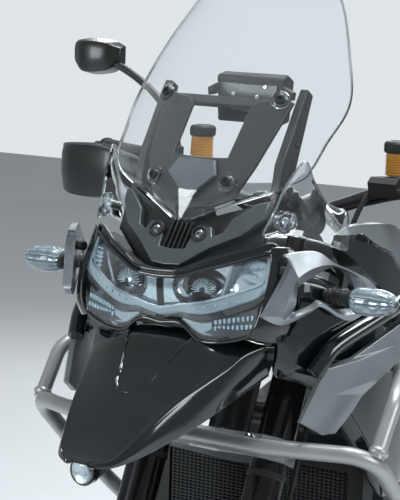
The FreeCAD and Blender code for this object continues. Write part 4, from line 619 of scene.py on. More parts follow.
def lamp_sheet(y_low, y_high, level_low, level_high, across, tall, back=0.0):
    y = np.linspace(y_low, y_high, across)[:, None]
    level = np.linspace(0, 1, tall)[None, :]
    low = level_low(y) if callable(level_low) else level_low
    high = level_high(y) if callable(level_high) else level_high
    return lamp_point(y + 0 * level, low + (high - low) * level, back)


def main_low(y):
    """Level of the main lamp's lower edge above the cornering lamps."""
    a = np.abs(y)
    return np.interp(a, [0, 24, 60, 110, 164], [0.1, 0.12, 0.3, 0.36, 0.4])


def above(step):
    """The level so far above the main lamp's lower edge."""
    return lambda y: main_low(y) + step


def lamp_strip(name, y_low, y_high, low, high, back, material, side=1, **options):
    strip = lamp_sheet(y_low, y_high, low, high, 60, 8, back)
    strip[..., 1] *= side
    return sheet_piece(name, strip, material, **options)


def lamp_bar(y, z, wide, tall, front, deep, side):
    """Corners of a small block in the lamp, its front that far behind the lens."""
    low_x, low_z, top_x, top_z = (lamp_edges(np.array(y))[k] for k in (2, 3, 0, 1))
    x = low_x + (top_x - low_x) * (z - low_z) / (top_z - low_z) + 4 - front
    return [(x - d, side * (y + u), z + v) for d in (0, deep) for u, v in rectangle(wide, tall)]


FAN_Y, FAN_Z = 64, 1031


def lamp_fan(name, side):
    """A round bezel with fins that spread from its lower middle."""
    bezel = [
        (x, side * (FAN_Y + grow * 25 * c), FAN_Z + grow * 15 * v)
        for x, grow in ((696, 1), (708, 1.04), (709, 0.98), (704, 0.86), (694, 0.8)) for c, v in circle(40)]
    make(f"lamp_fan_bezel_{name}", bezel, grid_faces(5, 40, True), LAMP_BLACK, angle=30)
    fins = []
    for c, v in ((math.cos(t), math.sin(t)) for t in (math.radians(-12 + 14.6 * k) for k in range(15))):
        fins.append([
            (x, side * (FAN_Y + 21 * r * c - w * v), FAN_Z - 7 + 19 * r * v + w * c) for x in (706, 697)
            for r, w in ((0.28, 0.8), (0.94, 0.8), (0.94, -0.8), (0.28, -0.8))])
    blocks(f"lamp_fan_{name}", fins, LIGHT_GUIDE)


def reflector(name, side):
    """A chromed bowl behind the lens with two deeper hollows."""
    y = np.linspace(6, 158, 120)[:, None]
    level = np.linspace(0.02, 0.97, 70)[None, :]
    low = main_low(y) + 0.03
    place = lamp_point(y + 0 * level, low + (1 - low) * level)
    z = place[..., 2]
    depth = 12 + 0 * z
    for cy, cz, wide, tall, deep in ((62, 1028, 40, 30, 26), (128, 1040, 30, 36, 24)):
        away = ((y - cy) / wide) ** 2 + ((z - cz) / tall) ** 2
        depth = np.maximum(depth, 12 + deep * np.sqrt(np.clip(1 - away, 0, 1)))
    place[..., 0] -= depth
    place[..., 1] *= side
    sheet_piece(f"lamp_reflector_{name}", place, CHROME, solid=1.2, angle=24)


LAMP_TRIM = (  # look, bevel, then place and outline of the front and of the back
    ("divider", LIGHT_GUIDE, 0.8, 701, ((88, 1008), (93, 1008), (110, 1062), (106, 1062)),
     672, ((90, 1008), (94, 1008), (110, 1062), (107, 1062))),
    ("shield", GREY_PLASTIC, 1, 704, ((22, 1030), (38, 1016), (40, 1040), (30, 1046)),
     690, ((20, 1030), (38, 1014), (42, 1041), (30, 1048))))


def lamp_inside(name, side):
    lamp_strip(
        f"lamp_guide_side_{name}", 147, 162, above(0.04), 0.96, 5, LIGHT_GUIDE, side, solid=3, angle=50)
    lamp_fan(name, side)
    for label, look, bevel, front_x, front, back_x, back in LAMP_TRIM:
        prism(f"lamp_{label}_{name}", at_x(front_x, front, side), at_x(back_x, back, side), look, bevel=bevel)
    dashes = [
        lamp_bar(133 + 7.5 * k, 1030 + 6.2 * row, 2.8, 0.9, 9, 3, side) for row in range(6) for k in range(3)]
    blocks(f"lamp_dashes_{name}", dashes, LED, bevel=0.3)
    dots = [lamp_bar(60 + 15 * k, 1000 + 3.4 * k, 1.6, 1.4, 2.5, 2, side) for k in range(5)]
    blocks(f"lamp_dots_{name}", dots, LED, bevel=0.8)


def corner_lamp(name, side):
    """The cornering lamp under the main one: a tray, a wedge and two rows of cells."""
    lamp_strip(f"corner_tray_{name}", 34, 146, 0.04, above(-0.05), 9, GREY_PLASTIC, side, solid=1.5)
    lamp_strip(f"corner_wedge_{name}", 38, 84, 0.07, above(-0.08), 6, LIGHT_GUIDE, side, solid=1.5)
    cells = [
        lamp_bar(89 + 6.4 * k, 973 + 9.5 * row + 1.2 * k * (1 if row else 0.7), 2.1, 3.6, 7, 4, side)
        for row in range(2) for k in range(9)]
    blocks(f"corner_cells_{name}", cells, LED, bevel=1.2)


def headlamp():
    outer = lamp_sheet(-164, 164, 0, 1, 150, 40)
    sheet_piece("lamp_lens", outer, LENS, stands_for="headlamp_lens", solid=2.6, angle=60)
    lamp_strip("lamp_guide", -150, 150, above(0.04), above(0.19), 6, LIGHT_GUIDE, solid=3, angle=50)
    lamp_strip("lamp_guide_edge", -150, 150, above(0.19), above(0.23), 4.6, CHROME, solid=1.5, angle=50)
    for name, side in SIDES:
        reflector(name, side)
        lamp_inside(name, side)
        corner_lamp(name, side)
        lamp_strip(f"lamp_shelf_{name}", 6, 160, above(-0.05), above(0.03), 3.2, GLOSS_BLACK, side, solid=6)
        lamp_strip(f"lamp_end_{name}", 158, 163.5, 0.02, 0.99, 1.5, GLOSS_BLACK, side, solid=6)
    for label, level, radius, back in (
            ("low", -0.015, 3.0, 1.0), ("top", 0.985, 3.4, 0.0), ("upper", 1.09, 2.6, 3.0)):
        line = lamp_sheet(-163, 163, level, level, 70, 2, back)[:, 0]
        rod(f"lamp_seal_{label}", [tuple(p) for p in line], radius, GLOSS_BLACK)
    lamp_strip("lamp_gasket", -163, 163, 0.95, 1.1, 1.6, GLOSS_BLACK, solid=3, angle=60)


def cheeks():
    """Black upright strips that close the lamp's ends."""
    for name, side in SIDES:
        rows = [
            [(668, 150, 1090), (662, 158, 1092), (646, 172, 1090), (636, 180, 1080)],
            [(672, 154, 1066), (668, 163, 1066), (654, 176, 1064), (640, 184, 1058)],
            [(690, 158, 1030), (686, 168, 1028), (668, 180, 1024), (650, 186, 1020)],
            [(702, 152, 990), (698, 163, 986), (682, 176, 982), (660, 184, 980)],
            [(704, 140, 966), (698, 152, 962), (682, 166, 958), (660, 176, 958)]]
        half = patch(rows, 40, 16)
        half[..., 1] *= side
        sheet_piece(f"lamp_cheek_{name}", half, GLOSS_BLACK, solid=4, angle=50)


# Nose cowl with its intake

COWL_Y = [0, 28, 55, 90, 125]
COWL_LOW = [(701, 1058), (700, 1060), (690, 1072), (670, 1090), (646, 1106)]
COWL_TOP = [(662, 1112), (660, 1114), (654, 1124), (642, 1136), (626, 1150)]


def cowl_point(y, level, out):
    a = abs(y)
    low = [np.interp(a, COWL_Y, [p[k] for p in COWL_LOW]) for k in (0, 1)]
    top = [np.interp(a, COWL_Y, [p[k] for p in COWL_TOP]) for k in (0, 1)]
    x = low[0] + (top[0] - low[0]) * level + out * 0.85
    z = low[1] + (top[1] - low[1]) * level + out * 0.5
    return (x, y, z)


def nose_cowl():
    outline = [
        (0, -0.1), (24, -0.1), (60, 0.1), (100, 0.12), (122, 0.5), (125, 0.95), (110, 1.0), (80, 0.78),
        (72, 0.42), (58, 0.42), (52, 0.72), (30, 0.8), (24, 0.55), (22, 0.3), (0, 0.3)]
    front, back = ([cowl_point(y, level, out) for y, level in both_halves(outline)] for out in (6, -8))
    prism("cowl_face", front, back, GREY_SILVER, stands_for="nose_cowl", bevel=1.6, angle=30)
    rows = [
        [cowl_point(y, level, -6) for y in np.linspace(-126, 126, 41)]
        for level in np.linspace(-0.32, 1.12, 9)]
    sheet_piece("cowl_back", np.array(rows), BLACK_PLASTIC, solid=3, angle=30)
    for k in range(5):
        y = -16 + 8 * k
        corners = ((y - 1.4, 0.3), (y + 1.4, 0.3), (y + 1.4, 0.98), (y - 1.4, 0.98))
        front, back = ([cowl_point(*corner, out) for corner in corners] for out in (4, -6))
        prism(f"intake_rib_{k}", front, back, BLACK_PLASTIC, bevel=0.4)
    for name, side in SIDES:
        place, way = (37 * side, 0.62), (0.85, 0.1 * side, 0.5)
        boss = [(13, -6), (13, 2), (11.5, 3.4), (9, 3.4), (8.2, 0), (0.1, 0)]
        turned(f"cowl_boss_{name}", boss, cowl_point(*place, 5), way, BLACK_PLASTIC, count=36, bevel=0.3)
        hex_screw(f"cowl_screw_{name}", cowl_point(*place, 6), way, 5.6)


# Windscreen

SCREEN_ROWS = (  # z, middle x, edge x, half width
    (1118, 676, 670, 16), (1140, 671, 650, 66), (1180, 660, 611, 158), (1235, 629, 565, 176),
    (1290, 594, 517, 184), (1360, 550, 484, 160), (1425, 506, 451, 128), (1470, 475, 442, 98),
    (1496, 457, 437, 72))
SCREEN_FIXINGS = (  # place and outward direction on the left side
    ("top", (569, 98, 1290), (0.806, 0.266, 0.529)), ("low", (650, 62, 1175), (0.943, 0.23, 0.245)))
PLATE_ROWS = ((1136, 648, 60), (1180, 634, 84), (1288, 553, 112))  # z, edge x, half width


def screen_point(a, row):
    z, middle, edge, half = row
    return (middle - (middle - edge) * a * a, half * a, z)


def screen():
    rows = [[screen_point(a, row) for a in np.linspace(0, 1, 9)] for row in SCREEN_ROWS]
    full = whole(patch(rows, 90, 40))
    sheet_piece("screen_shell", full, CLEAR, stands_for="windscreen", solid=3.6, angle=60)
    edge = np.concatenate([full[:, 0], full[-1, 1:-1], full[::-1, -1], full[0, -2:0:-1]])
    centres = [tuple(p) for p in edge[::3]]
    rod("screen_edge", centres + centres[:1], 1.9, EDGE_CLEAR)
    boss = [(0.1, 2.5), (6.5, 2.5), (7.5, 3.5), (11.5, 4.4), (14, 3.2), (14.6, 0.6)]
    cap = [(7.5, 2.0), (7.5, 5.5), (6.2, 7.0), (3.2, 7.2), (3.0, 5.6), (0.1, 5.6)]
    for name, side in SIDES:
        for label, (x, y, z), (ahead, out, up) in SCREEN_FIXINGS:
            place, way = (x, y * side, z), (ahead, out * side, up)
            turned(f"screen_boss_{label}_{name}", boss, place, way, EDGE_CLEAR, count=40)
            turned(f"screen_cap_{label}_{name}", cap, place, way, BLACK_PLASTIC, count=32)


def on_plate(outline, out):
    """An outline of (y, z) laid on the bowed plate behind the screen's foot, or out from it."""
    points = []
    for y, z in outline:
        x, half = (np.interp(z, [p[0] for p in PLATE_ROWS], [p[k] for p in PLATE_ROWS]) for k in (1, 2))
        bow = 12 * (1 - (y / half) ** 2)
        points.append((x + bow + out, y, z + out * 0.4))
    return points


def screen_plate():
    full = both_halves([
        (0, 1132), (44, 1138), (70, 1150), (92, 1196), (112, 1286), (96, 1290), (60, 1284), (50, 1276),
        (47, 1205), (0, 1203)])
    prism(
        "screen_plate", on_plate(full, 2), on_plate(full, -4), SATIN_BLACK, stands_for="screen_frame",
        bevel=1.2, angle=30)
    pent = [(-30, 1200), (30, 1200), (40, 1180), (0, 1146), (-40, 1180)]
    wider = [(y * 1.06, z) for y, z in pent]
    prism("screen_pentagon", on_plate(pent, 5), on_plate(wider, 1), GREY_PLASTIC, bevel=1.2, angle=30)
    bar = ((-98, 1276), (98, 1276), (100, 1288), (-100, 1288))
    prism("screen_top_bar", on_plate(bar, 3), on_plate(bar, -14), BLACK_PLASTIC, bevel=1.5)
    outline = [(617, 1130), (587, 1126), (521, 1296), (537, 1306), (549, 1288), (602, 1200)]
    for name, side in SIDES:
        low, high = 111.5 * side, 124.5 * side
        prism(
            f"screen_upright_{name}", at_y(low, outline), at_y(high, outline), SATIN_BLACK, bevel=2, angle=30)
        for z in (1140, 1225, 1280):
            place = (np.interp(z, [1126, 1300], [602, 532]), high, z)
            hex_screw(f"upright_screw_{name}_{z}", place, (0, side, 0), 3.4, BLACK_STEEL)


def instrument_box():
    outline = [(474, 1250), (496, 1246), (500, 1316), (482, 1322), (464, 1312)]
    prism(
        "dash_shell", at_y(-58, outline), at_y(58, outline), BLACK_PLASTIC, stands_for="instrument_panel",
        bevel=4, angle=30)
    plate = ((-46, 1262), (46, 1262), (50, 1306), (-50, 1306))
    prism("dash_plate", at_x(501, plate), at_x(496, plate), SATIN_BLACK, bevel=1)
    label = ((-10, 1272), (8, 1272), (8, 1277), (-10, 1277))
    prism("dash_label", at_x(502, label), at_x(499, label), GREY_PLASTIC, bevel=0.4)
    glass = ((-48, 1264), (48, 1264), (48, 1308), (-48, 1308))
    behind = ((-48, 1262), (48, 1262), (48, 1310), (-48, 1310))
    prism("dash_screen", at_x(461.5, glass), at_x(470, behind), GLOSS_BLACK, bevel=1)
    for y, z in ((-26, 1289), (16, 1287), (-26, 1268), (30, 1302)):
        hex_screw(f"dash_screw_{y + 30}_{z}", (500.5, y, z), (1, 0, 0), 3)
    ear = ((54, 1290), (74, 1284), (76, 1296), (54, 1306))
    for name, side in SIDES:
        prism(f"dash_ear_{name}", at_x(498, ear, side), at_x(488, ear, side), BLACK_PLASTIC, bevel=1.5)


SHIELD = [
    (-27, 1107), (-11, 1136), (11, 1177), (43, 1209), (59, 1183), (81, 1153), (104, 1140), (125, 1132),
    (128, 1087), (121, 1079), (83, 1091), (51, 1099), (23, 1106)]
SHIELD_CREASE = [
    (-8, 1112), (2, 1132), (18, 1164), (42, 1192), (52, 1174), (74, 1143), (98, 1130), (116, 1122),
    (117, 1096), (113, 1090), (84, 1101), (54, 1108), (26, 1114)]


def panel(x, y, back, aside, side):
    """Places on an upright panel: so far along it from (x, y), at a height, and so far out."""
    return lambda s, z, out: (x - back * s + aside * out, (y + aside * s + back * out) * side, z)


def deflectors():
    for name, side in SIDES:
        loops = [
            [(s, z, 0) for s, z in SHIELD], [(s, z, 3.5) for s, z in SHIELD],
            [(s, z, 7.5) for s, z in SHIELD_CREASE]]
        shield = panel(650, 150, 0.940, 0.342, side)
        rows = [[shield(*p) for p in closed_line(loop, 104)] for loop in loops]
        points = np.array(rows).reshape(-1, 3)
        faces = grid_faces(3, 104, True) + [tuple(range(104))[::-1], tuple(range(208, 312))]
        make(f"deflector_{name}", points, faces, CLEAR, stands_for=on_left(side, "wind_deflectors"), angle=24)
        border = [shield(*p) for p in closed_line(loops[1], 60)]
        rod(f"deflector_edge_{name}", border + border[:1], 1.5, EDGE_CLEAR)
        way = (0.748, 0.568 * side, 0.344)
        tip = Vector((621.2, 143.4 * side, 1117.2)) + Vector(way) * 21
        turned(
            f"deflector_dome_{name}", [(0.1, 7), (9, 6), (14, 3), (17, -1.5), (14, 0), (8, 3), (0.1, 4)],
            tip, way, EDGE_CLEAR, count=40)
        turned(f"deflector_stud_{name}", [(6, -20.5), (6, 1), (4, 3), (0.1, 3)], tip, way, SCREW, count=24)


# Wings beside the lamp

UPPER_OUTER = [
    (-15, 1000, 0), (-9, 1009, 2), (26, 1072, 3), (19, 1085, 0), (67, 1089, 0), (97, 1072, 0),
    (154, 1046, 0), (172, 1017, 0), (141, 994, 0), (124, 989, 0), (106, 995, 0), (77, 1011, 0),
    (59, 1003, 0), (17, 988, 0)]
UPPER_RIDGE = [
    (10, 1002, 8), (12, 1006, 9), (33, 1052, 10), (36, 1056, 10), (62, 1068, 8), (96, 1069, 3),
    (140, 1048, 3), (156, 1018, 3), (136, 1002, 3), (124, 998, 3), (106, 1000, 3), (77, 1016, 3),
    (60, 1008, 4), (20, 996, 7)]
UPPER_INNER = [
    (38, 1012, -6), (40, 1016, -6), (42, 1036, -6), (45, 1041, -6), (60, 1050, -6), (97, 1065, -6),
    (128, 1048, -6), (136, 1020, -6), (130, 1006, -6), (122, 1005, -6), (104, 1006, -6), (77, 1019, -6),
    (62, 1012, -6), (36, 1004, -6)]
LOWER_WING = [
    (-34, 848), (-3, 904), (12, 922), (60, 933), (145, 975), (168, 962), (152, 926), (108, 904), (80, 878),
    (54, 848), (30, 826), (6, 826)]


def wings():
    for name, side in SIDES:
        upper, lower = panel(704, 180, 0.868, 0.497, side), panel(634, 222, 0.940, 0.342, side)
        back = [[(s, z, -9.5) for s, z, _ in loop] for loop in (UPPER_OUTER, UPPER_INNER)]
        ridge = [(s, z, 0.75 * out) for s, z, out in UPPER_RIDGE]
        ring(
            f"wing_ring_{name}", [back[0], UPPER_OUTER, ridge, UPPER_INNER, back[1]], upper, SATIN_SILVER,
            count=140, stands_for=on_left(side, "wing_panels"), angle=26, bevel=0.8)
        front = [lower(s, z, 0) for s, z in LOWER_WING]
        rear = [lower(s, z, -9.5) for s, z in LOWER_WING]
        crease = [lower(62, 930, 8), lower(106, 901, 8), lower(22, 884, 4), lower(128, 944, 4)]
        count = len(front)
        a, b, c, d = range(2 * count, 2 * count + 4)
        faces = [(i, count + i, count + (i + 1) % count, (i + 1) % count) for i in range(count)]
        faces.append(tuple(range(count, 2 * count)))
        faces += [(3, 4, d), (4, 5, d), (5, 6, d), (6, 7, b), (6, b, d), (a, d, b), (3, d, a)]
        faces += [
            (0, 1, c), (1, 2, c), (2, 3, a), (2, a, c), (a, b, c), (b, 7, 8), (b, 8, c), (8, 9, c),
            (9, 10, c), (10, 11, c), (11, 0, c)]
        make(f"wing_blade_{name}", front + rear + crease, faces, SATIN_SILVER, angle=14, bevel=1.2)
        rod(f"wing_stud_low_{name}", [(588, 200 * side, 920), (588, 232 * side, 920)], 8, BLACK_STEEL)
        rod(f"wing_stud_high_{name}", [(672, 172 * side, 1060), (668, 192 * side, 1060)], 7, BLACK_STEEL)
        band = [
            lower(*p) for p in ((-6, 914, -10), (8, 930, -8), (24, 950, -8), (80, 974, -8), (122, 990, -9),
            (152, 1006, -10))]
        rod(f"wing_band_{name}", band, 12.5, GLOSS_BLACK)
        for k, (s, z, wide, tall) in enumerate(((56, 1038, 5, 6), (118, 1030, 6, 4))):
            corners = [upper(s + ds, z + dz, out) for out in (-9, -4) for ds, dz in rectangle(wide, tall)]
            blocks(f"wing_clip_{name}_{k}", [corners], SATIN_SILVER, bevel=1)


# Indicators

def indicator(name, side, start, foot, rows, stands_for):
    """A ribbed rubber stem and a long clear lens over a cut reflector."""
    start, foot = Vector(start), Vector(foot)
    reach = (foot - start).length
    profile = [(8.5, 0)]
    for k in range(5):
        base = reach * (0.12 + 0.17 * k)
        profile += [(9, base), (11.5, base + 2), (11.5, base + 5), (9, base + 7)]
    profile += [(13, reach - 2), (14, reach + 4), (0.1, reach + 4)]
    turned(f"{name}_stem", profile, start, foot - start, BLACK_PLASTIC, stands_for=stands_for, bevel=0.4)

    def shell(scale, facet):
        out = []
        for y, cx, cz, a, b in rows:
            loop = []
            for k, (c, v) in enumerate(circle(28)):
                grow = scale * (1 + (facet if k % 2 else 0))
                loop.append((
                    cx + a * grow * math.copysign(abs(c) ** 0.82, c), y * side,
                    cz + b * grow * math.copysign(abs(v) ** 0.82, v)))
            out.append(loop)
        return out

    lofted(f"{name}_lens", shell(1, 0), LENS, along=26, angle=60)
    core = smooth_line(shell(0.8, -0.2), 13)
    middle = core.mean(axis=1, keepdims=True)
    core[1::2] = middle[1::2] + (core[1::2] - middle[1::2]) * 0.84
    lofted(f"{name}_core", core, CRYSTAL, angle=5)


INDICATORS = (  # the stem's two ends, then the lens: y, middle x and z, half length and half height
    ("front", (604, 206, 1022), (612, 254, 1023), (
        (254, 612, 1023, 9, 9), (260, 614, 1023, 18, 16), (270, 615, 1023, 22, 19),
        (292, 615, 1023, 22.5, 19.5), (308, 614, 1023, 20, 17), (319, 613, 1023, 14, 12),
        (324, 612, 1023, 7, 6))),
    ("rear", (-960, 68, 700), (-962, 112, 704), (
        (112, -963, 703, 8, 8), (118, -963, 704, 16, 13), (140, -963, 704, 18, 15),
        (162, -964, 704, 17, 14), (174, -964, 704, 12, 10), (178, -964, 704, 6, 5))))


def indicators():
    for name, side in SIDES:
        for place, start, foot, rows in INDICATORS:
            start, foot = ((x, y * side, z) for x, y, z in (start, foot))
            indicator(
                f"{place}_indicator_{name}", side, start, foot, rows, on_left(side, f"{place}_indicators"))


# Fairings, shrouds and tank

def fairings():
    rows = [
        (340, 206, 226, 740, 900), (430, 214, 238, 700, 935), (520, 208, 238, 790, 1000),
        (590, 180, 212, 880, 1040), (641, 146, 182, 905, 1056)]
    for name, side in SIDES:
        sections = [
            [(x, y * side, z) for y, z in ((i, low), (o - 5, low + 8), (o, low + 30),
            (o + 1, (low + high) / 2), (o, high - 26), (o - 6, high - 7), (i, high),
            (i - 1, (low + high) / 2))] for x, i, o, low, high in rows]
        lofted(
            f"fairing_{name}", sections, GLOSS_BLACK, along=60, around=64,
            stands_for=on_left(side, "side_fairings"), angle=60)
        for k, (x, y, z) in enumerate(((608, 204, 925), (400, 233, 780), (470, 240, 900))):
            hex_screw(f"fairing_screw_{name}_{k}", (x, y * side, z), (0.1, side, 0), 4.5)


def shrouds():
    rows = [
        (30, 122, 134, 900, 940), (150, 150, 178, 905, 1000), (250, 158, 204, 912, 1038),
        (320, 162, 210, 930, 1074), (370, 164, 212, 945, 1099), (440, 168, 207, 990, 1107),
        (500, 170, 194, 1046, 1108), (532, 172, 184, 1074, 1100)]
    edge = [
        (20, 905), (150, 935), (300, 990), (384, 1034), (400, 1042), (424, 1068), (452, 1074), (478, 1096),
        (540, 1099)]
    for name, side in SIDES:
        sections = []
        for x, i, o, low, high in rows:
            tall = high - low
            sections.append([
                (x, y * side, z) for y, z in ((i, low), (o, low + tall * 0.2), (o, high - tall * 0.3),
                (o - (o - i) * 0.55, high), (i, high))])
        piece = lofted(
            f"shroud_{name}", sections, SATIN_SILVER, along=90, parts=10,
            stands_for=on_left(side, "tank_shrouds"), angle=30)
        piece.data.materials.append(GLOSS_BLACK)
        for face in piece.data.polygons:
            x, _, z = np.array(face.center) * 1000
            if z < np.interp(x, [p[0] for p in edge], [p[1] for p in edge]):
                face.material_index = 1
        trim = []
        for x, z in edge[1:-1]:
            i, o, low, high = (np.interp(x, [r[0] for r in rows], [r[k] for r in rows]) for k in (1, 2, 3, 4))
            y = np.interp(
                z, [low, low + (high - low) * 0.2, high - (high - low) * 0.3, high],
                [i, o, o, o - (o - i) * 0.55])
            trim.append((x, (y - 0.4) * side, z))
        rod(f"shroud_trim_{name}", trim, 2.4, GLOSS_BLACK)


TANK_ROWS = [
    (-34, 60, 806, 78, 826, 44, 872), (40, 90, 812, 114, 880, 62, 962), (150, 104, 826, 142, 936, 86, 1032),
    (250, 104, 850, 150, 960, 92, 1046), (300, 96, 872, 142, 956, 84, 1034),
    (344, 84, 900, 112, 930, 66, 962)]


def round_section(x, half_low, z_low, half_wide, z_wide, half_top, z_top):
    right = [
        (half_low * 0.5, z_low), (half_low, z_low + 3), (half_wide, z_wide),
        ((half_wide + half_top) / 2 + 5, (z_wide + z_top) / 2 + 6), (half_top, z_top - 3),
        (half_top * 0.45, z_top + 2)]
    return [(x, y, z) for y, z in right] + [(x, -y, z) for y, z in reversed(right)]


def tank():
    sections = [round_section(*row) for row in TANK_ROWS]
    lofted("tank_shell", sections, GLOSS_BLACK, along=60, around=72, angle=60)
    collar = [(48, -8), (52, -4), (52, 1), (49, 3), (42, 3), (39, 0), (39, -8)]
    turned("filler_collar", collar, (190, 0, 1046), (0, 0, 1), BLACK_PLASTIC, count=48, bevel=0.4)
    for k, (c, v) in enumerate(circle(6, 0.5)):
        hex_screw(f"filler_screw_{k}", (190 + 45.5 * c, 45.5 * v, 1048), (0, 0, 1), 2.4)


# Seats

SWELL = 4  # how far a pad bulges past its rows


def cushion(name, rows, node, seams):
    """A crowned pad that pulls in under its edge, with piping along both edges and sewn lines across."""
    rows = np.asarray(rows, float)
    fine = smooth_line(rows, 56)
    sections = []
    last = len(fine) - 1
    for k, row in enumerate(fine):
        end = min(k, last - k) / 7.0
        close = 1 - 0.55 * (1 - min(1, end)) ** 2.2
        x, half_low, z_low, half_wide, z_wide, half_top, z_top = row
        swell = SWELL * math.sin(math.pi * min(1, min(k, last - k) / 12) / 2)
        dip = sum(3.2 * math.exp(-((x - s) / 5.0) ** 2) for s in seams)
        middle = (z_low + z_top) / 2
        right = [
            (half_low * 0.45, z_low), (half_low * 0.96, z_low + 2), (half_wide - 3, (z_low + z_wide) / 2),
            (half_wide + swell * 0.4, z_wide), (half_wide * 0.5 + half_top * 0.5 + swell,
            (z_wide + z_top) / 2 + 2), (half_top, z_top - 2 + swell * 0.4),
            (half_top * 0.72, z_top + swell - dip), (half_top * 0.3, z_top + swell - dip)]
        loop = [(y, z) for y, z in right] + [(-y, z) for y, z in reversed(right)]
        sections.append([(x, y * close, middle + (z - middle) * close) for y, z in loop])
    pad = lofted(name, sections, SEAT, around=76, stands_for=node, angle=80, rounds=1)
    inner = fine[6:-6]
    for label, side in SIDES:
        line = [(r[0], (r[5] + 0.5) * side, r[6] - 0.5 + SWELL * 0.4) for r in inner[::4]]
        rod(f"{name}_piping_{label}", line, 2.0, RUBBER)
    for k, x in enumerate(seams):
        half = np.interp(x, rows[:, 0], rows[:, 5]) * 0.94
        top = np.interp(x, rows[:, 0], rows[:, 6])
        rod(f"{name}_seam_{k}", [(x, y, top + SWELL - 2.6) for y in np.linspace(-half, half, 9)], 1.2, RUBBER)


def seats():
    cushion(
        "seat_front", [(-452, 110, 824, 150, 850, 118, 892), (-400, 120, 818, 160, 838, 120, 864),
        (-290, 118, 804, 148, 822, 112, 846), (-160, 76, 800, 104, 818, 78, 846),
        (-36, 52, 806, 74, 826, 40, 868)], "seat_rider", (-350, -180))
    cushion(
        "seat_rear", [(-792, 66, 886, 92, 902, 66, 928), (-700, 88, 872, 122, 892, 92, 932),
        (-560, 96, 848, 134, 872, 100, 928), (-460, 98, 834, 138, 862, 108, 914)], "seat_pillion", (-640,))


# Steering pieces

STEER_ROOT = Vector((726.9, 0, 310.8))  # the steering axis beside the front axle
RAKE_SIN, RAKE_COS = 0.393942, 0.919135
STEER_AXIS = Vector((-RAKE_SIN, 0, RAKE_COS))
STEER_AHEAD = Vector((RAKE_COS, 0, RAKE_SIN))
SIDEWAYS = Vector((0, 1, 0))
FORK_OFFSET, FORK_TRACK = 36, 107  # legs ahead of the axis and from the middle
BAR = (386.1, 1106.1)  # x and z of the bar's middle


def at_bar(ahead, side, up):
    return (BAR[0] + ahead, side, BAR[1] + up)


def on_bar(places, side):
    """A line of places by the bar on the side wanted, from those on the left."""
    return [at_bar(ahead, y * side, up) for ahead, y, up in places]


def reservoir(name, side):
    """An amber pot with rings and a black cap with a ribbed grip."""
    pot = [(0.1, 0), (15, 0)]
    for k in range(8):
        pot += [(18.2, 2 + 4 * k), (18.2, 4 + 4 * k), (17.2, 4.6 + 4 * k), (17.2, 5.4 + 4 * k)]
    pot += [(18, 35), (0.1, 35)]
    base, up = at_bar(-32, 178 * side, 66.3), (0, 0, 1)
    turned(
        f"reservoir_pot_{name}", pot, base, up, AMBER, body="steering", count=40,
        stands_for=on_left(side, "fluid_reservoirs"), bevel=0.3)
    cap = [(0.1, 35), (19.5, 35), (20.8, 37), (20.8, 49), (18, 52.6), (13, 53), (12, 51.6), (0.1, 51.6)]
    turned(f"reservoir_cap_{name}", cap, base, up, BLACK_PLASTIC, body="steering", count=40, bevel=0.4)
    ribs = []
    for c, v in circle(24):
        ribs.append([
            (*polar(base, c, v, along, across), base[2] + z) for z in (38, 48)
            for along, across in ((20.4, -1), (21.2, -0.7), (21.2, 0.7), (20.4, 1))])
    blocks(f"reservoir_grip_{name}", ribs, BLACK_PLASTIC, body="steering")


GUARD_ROWS = (  # y, back, front, lower and upper edge
    (262, 16, 22, 6, 62), (330, 22, 30, -10, 80), (410, 6, 15, -12, 76), (462, -44, -35, 0, 66),
    (486, -94, -86, 22, 58))


def handguard(name, side):
    sections = []
    for y, back, front, low, high in GUARD_ROWS:
        middle = (low + high) / 2
        sections.append([
            at_bar(a, y * side, b) for a, b in ((back, low), (front - 1, low + 3), (front, low + 9),
            (front + 4, middle - 8), (front + 3, high - 14), (front, high - 5), (back, high),
            (back - 0.5, high - 4), (back - 1, middle), (back - 0.5, low + 4))])
    lofted(
        f"guard_shell_{name}", sections, SATIN_BLACK, body="steering", along=44,
        stands_for=on_left(side, "handguards"), angle=34, bevel=1.2)
    rim = [at_bar(f + 2, y * side, h - 1) for y, _, f, _, h in GUARD_ROWS]
    rod(f"guard_rim_{name}", rim, 2.6, GREY_PLASTIC, body="steering")
    arm = [(-30, 222, 48), (-14, 232, 20), (2, 262, 16), (18, 285, 18)]
    rod(f"guard_arm_{name}", on_bar(arm, side), 6, BLACK_STEEL, body="steering")
    end = [(-120, 449, 57), (-128, 478, 54), (-92, 484, 44)]
    rod(f"guard_end_{name}", on_bar(end, side), 7, BLACK_STEEL, body="steering")
    hex_screw(f"guard_screw_{name}", at_bar(24, 292 * side, 30), (1, 0.1 * side, 0), 5, body="steering")


def grip(name, side):
    inner, outer = Vector(at_bar(-34, 235 * side, 52)), Vector(at_bar(-124, 455 * side, 57))
    ribs = [(17.2, 84)]
    for k in range(30):
        ribs += [(17.3, 86 + 4 * k), (18.3, 86.8 + 4 * k), (18.3, 88.6 + 4 * k), (17.3, 89.4 + 4 * k)]
    ribs += [(19.5, 206), (19.5, 209), (17.2, 209.5)]
    turned(f"grip_ribs_{name}", ribs, inner, (outer - inner).normalized(), RUBBER, body="steering", count=36)


def bar_pieces():
    wire = [(10, 40, -12), (2, 90, 8), (-4, 150, 24), (-16, 190, 36), (-22, 222, 40)]
    for name, side in SIDES:
        reservoir(name, side)
        handguard(name, side)
        grip(name, side)
        mirror(name, side)
        rod(f"switch_wire_{name}", on_bar(wire, side), 3.2, RUBBER, body="steering")


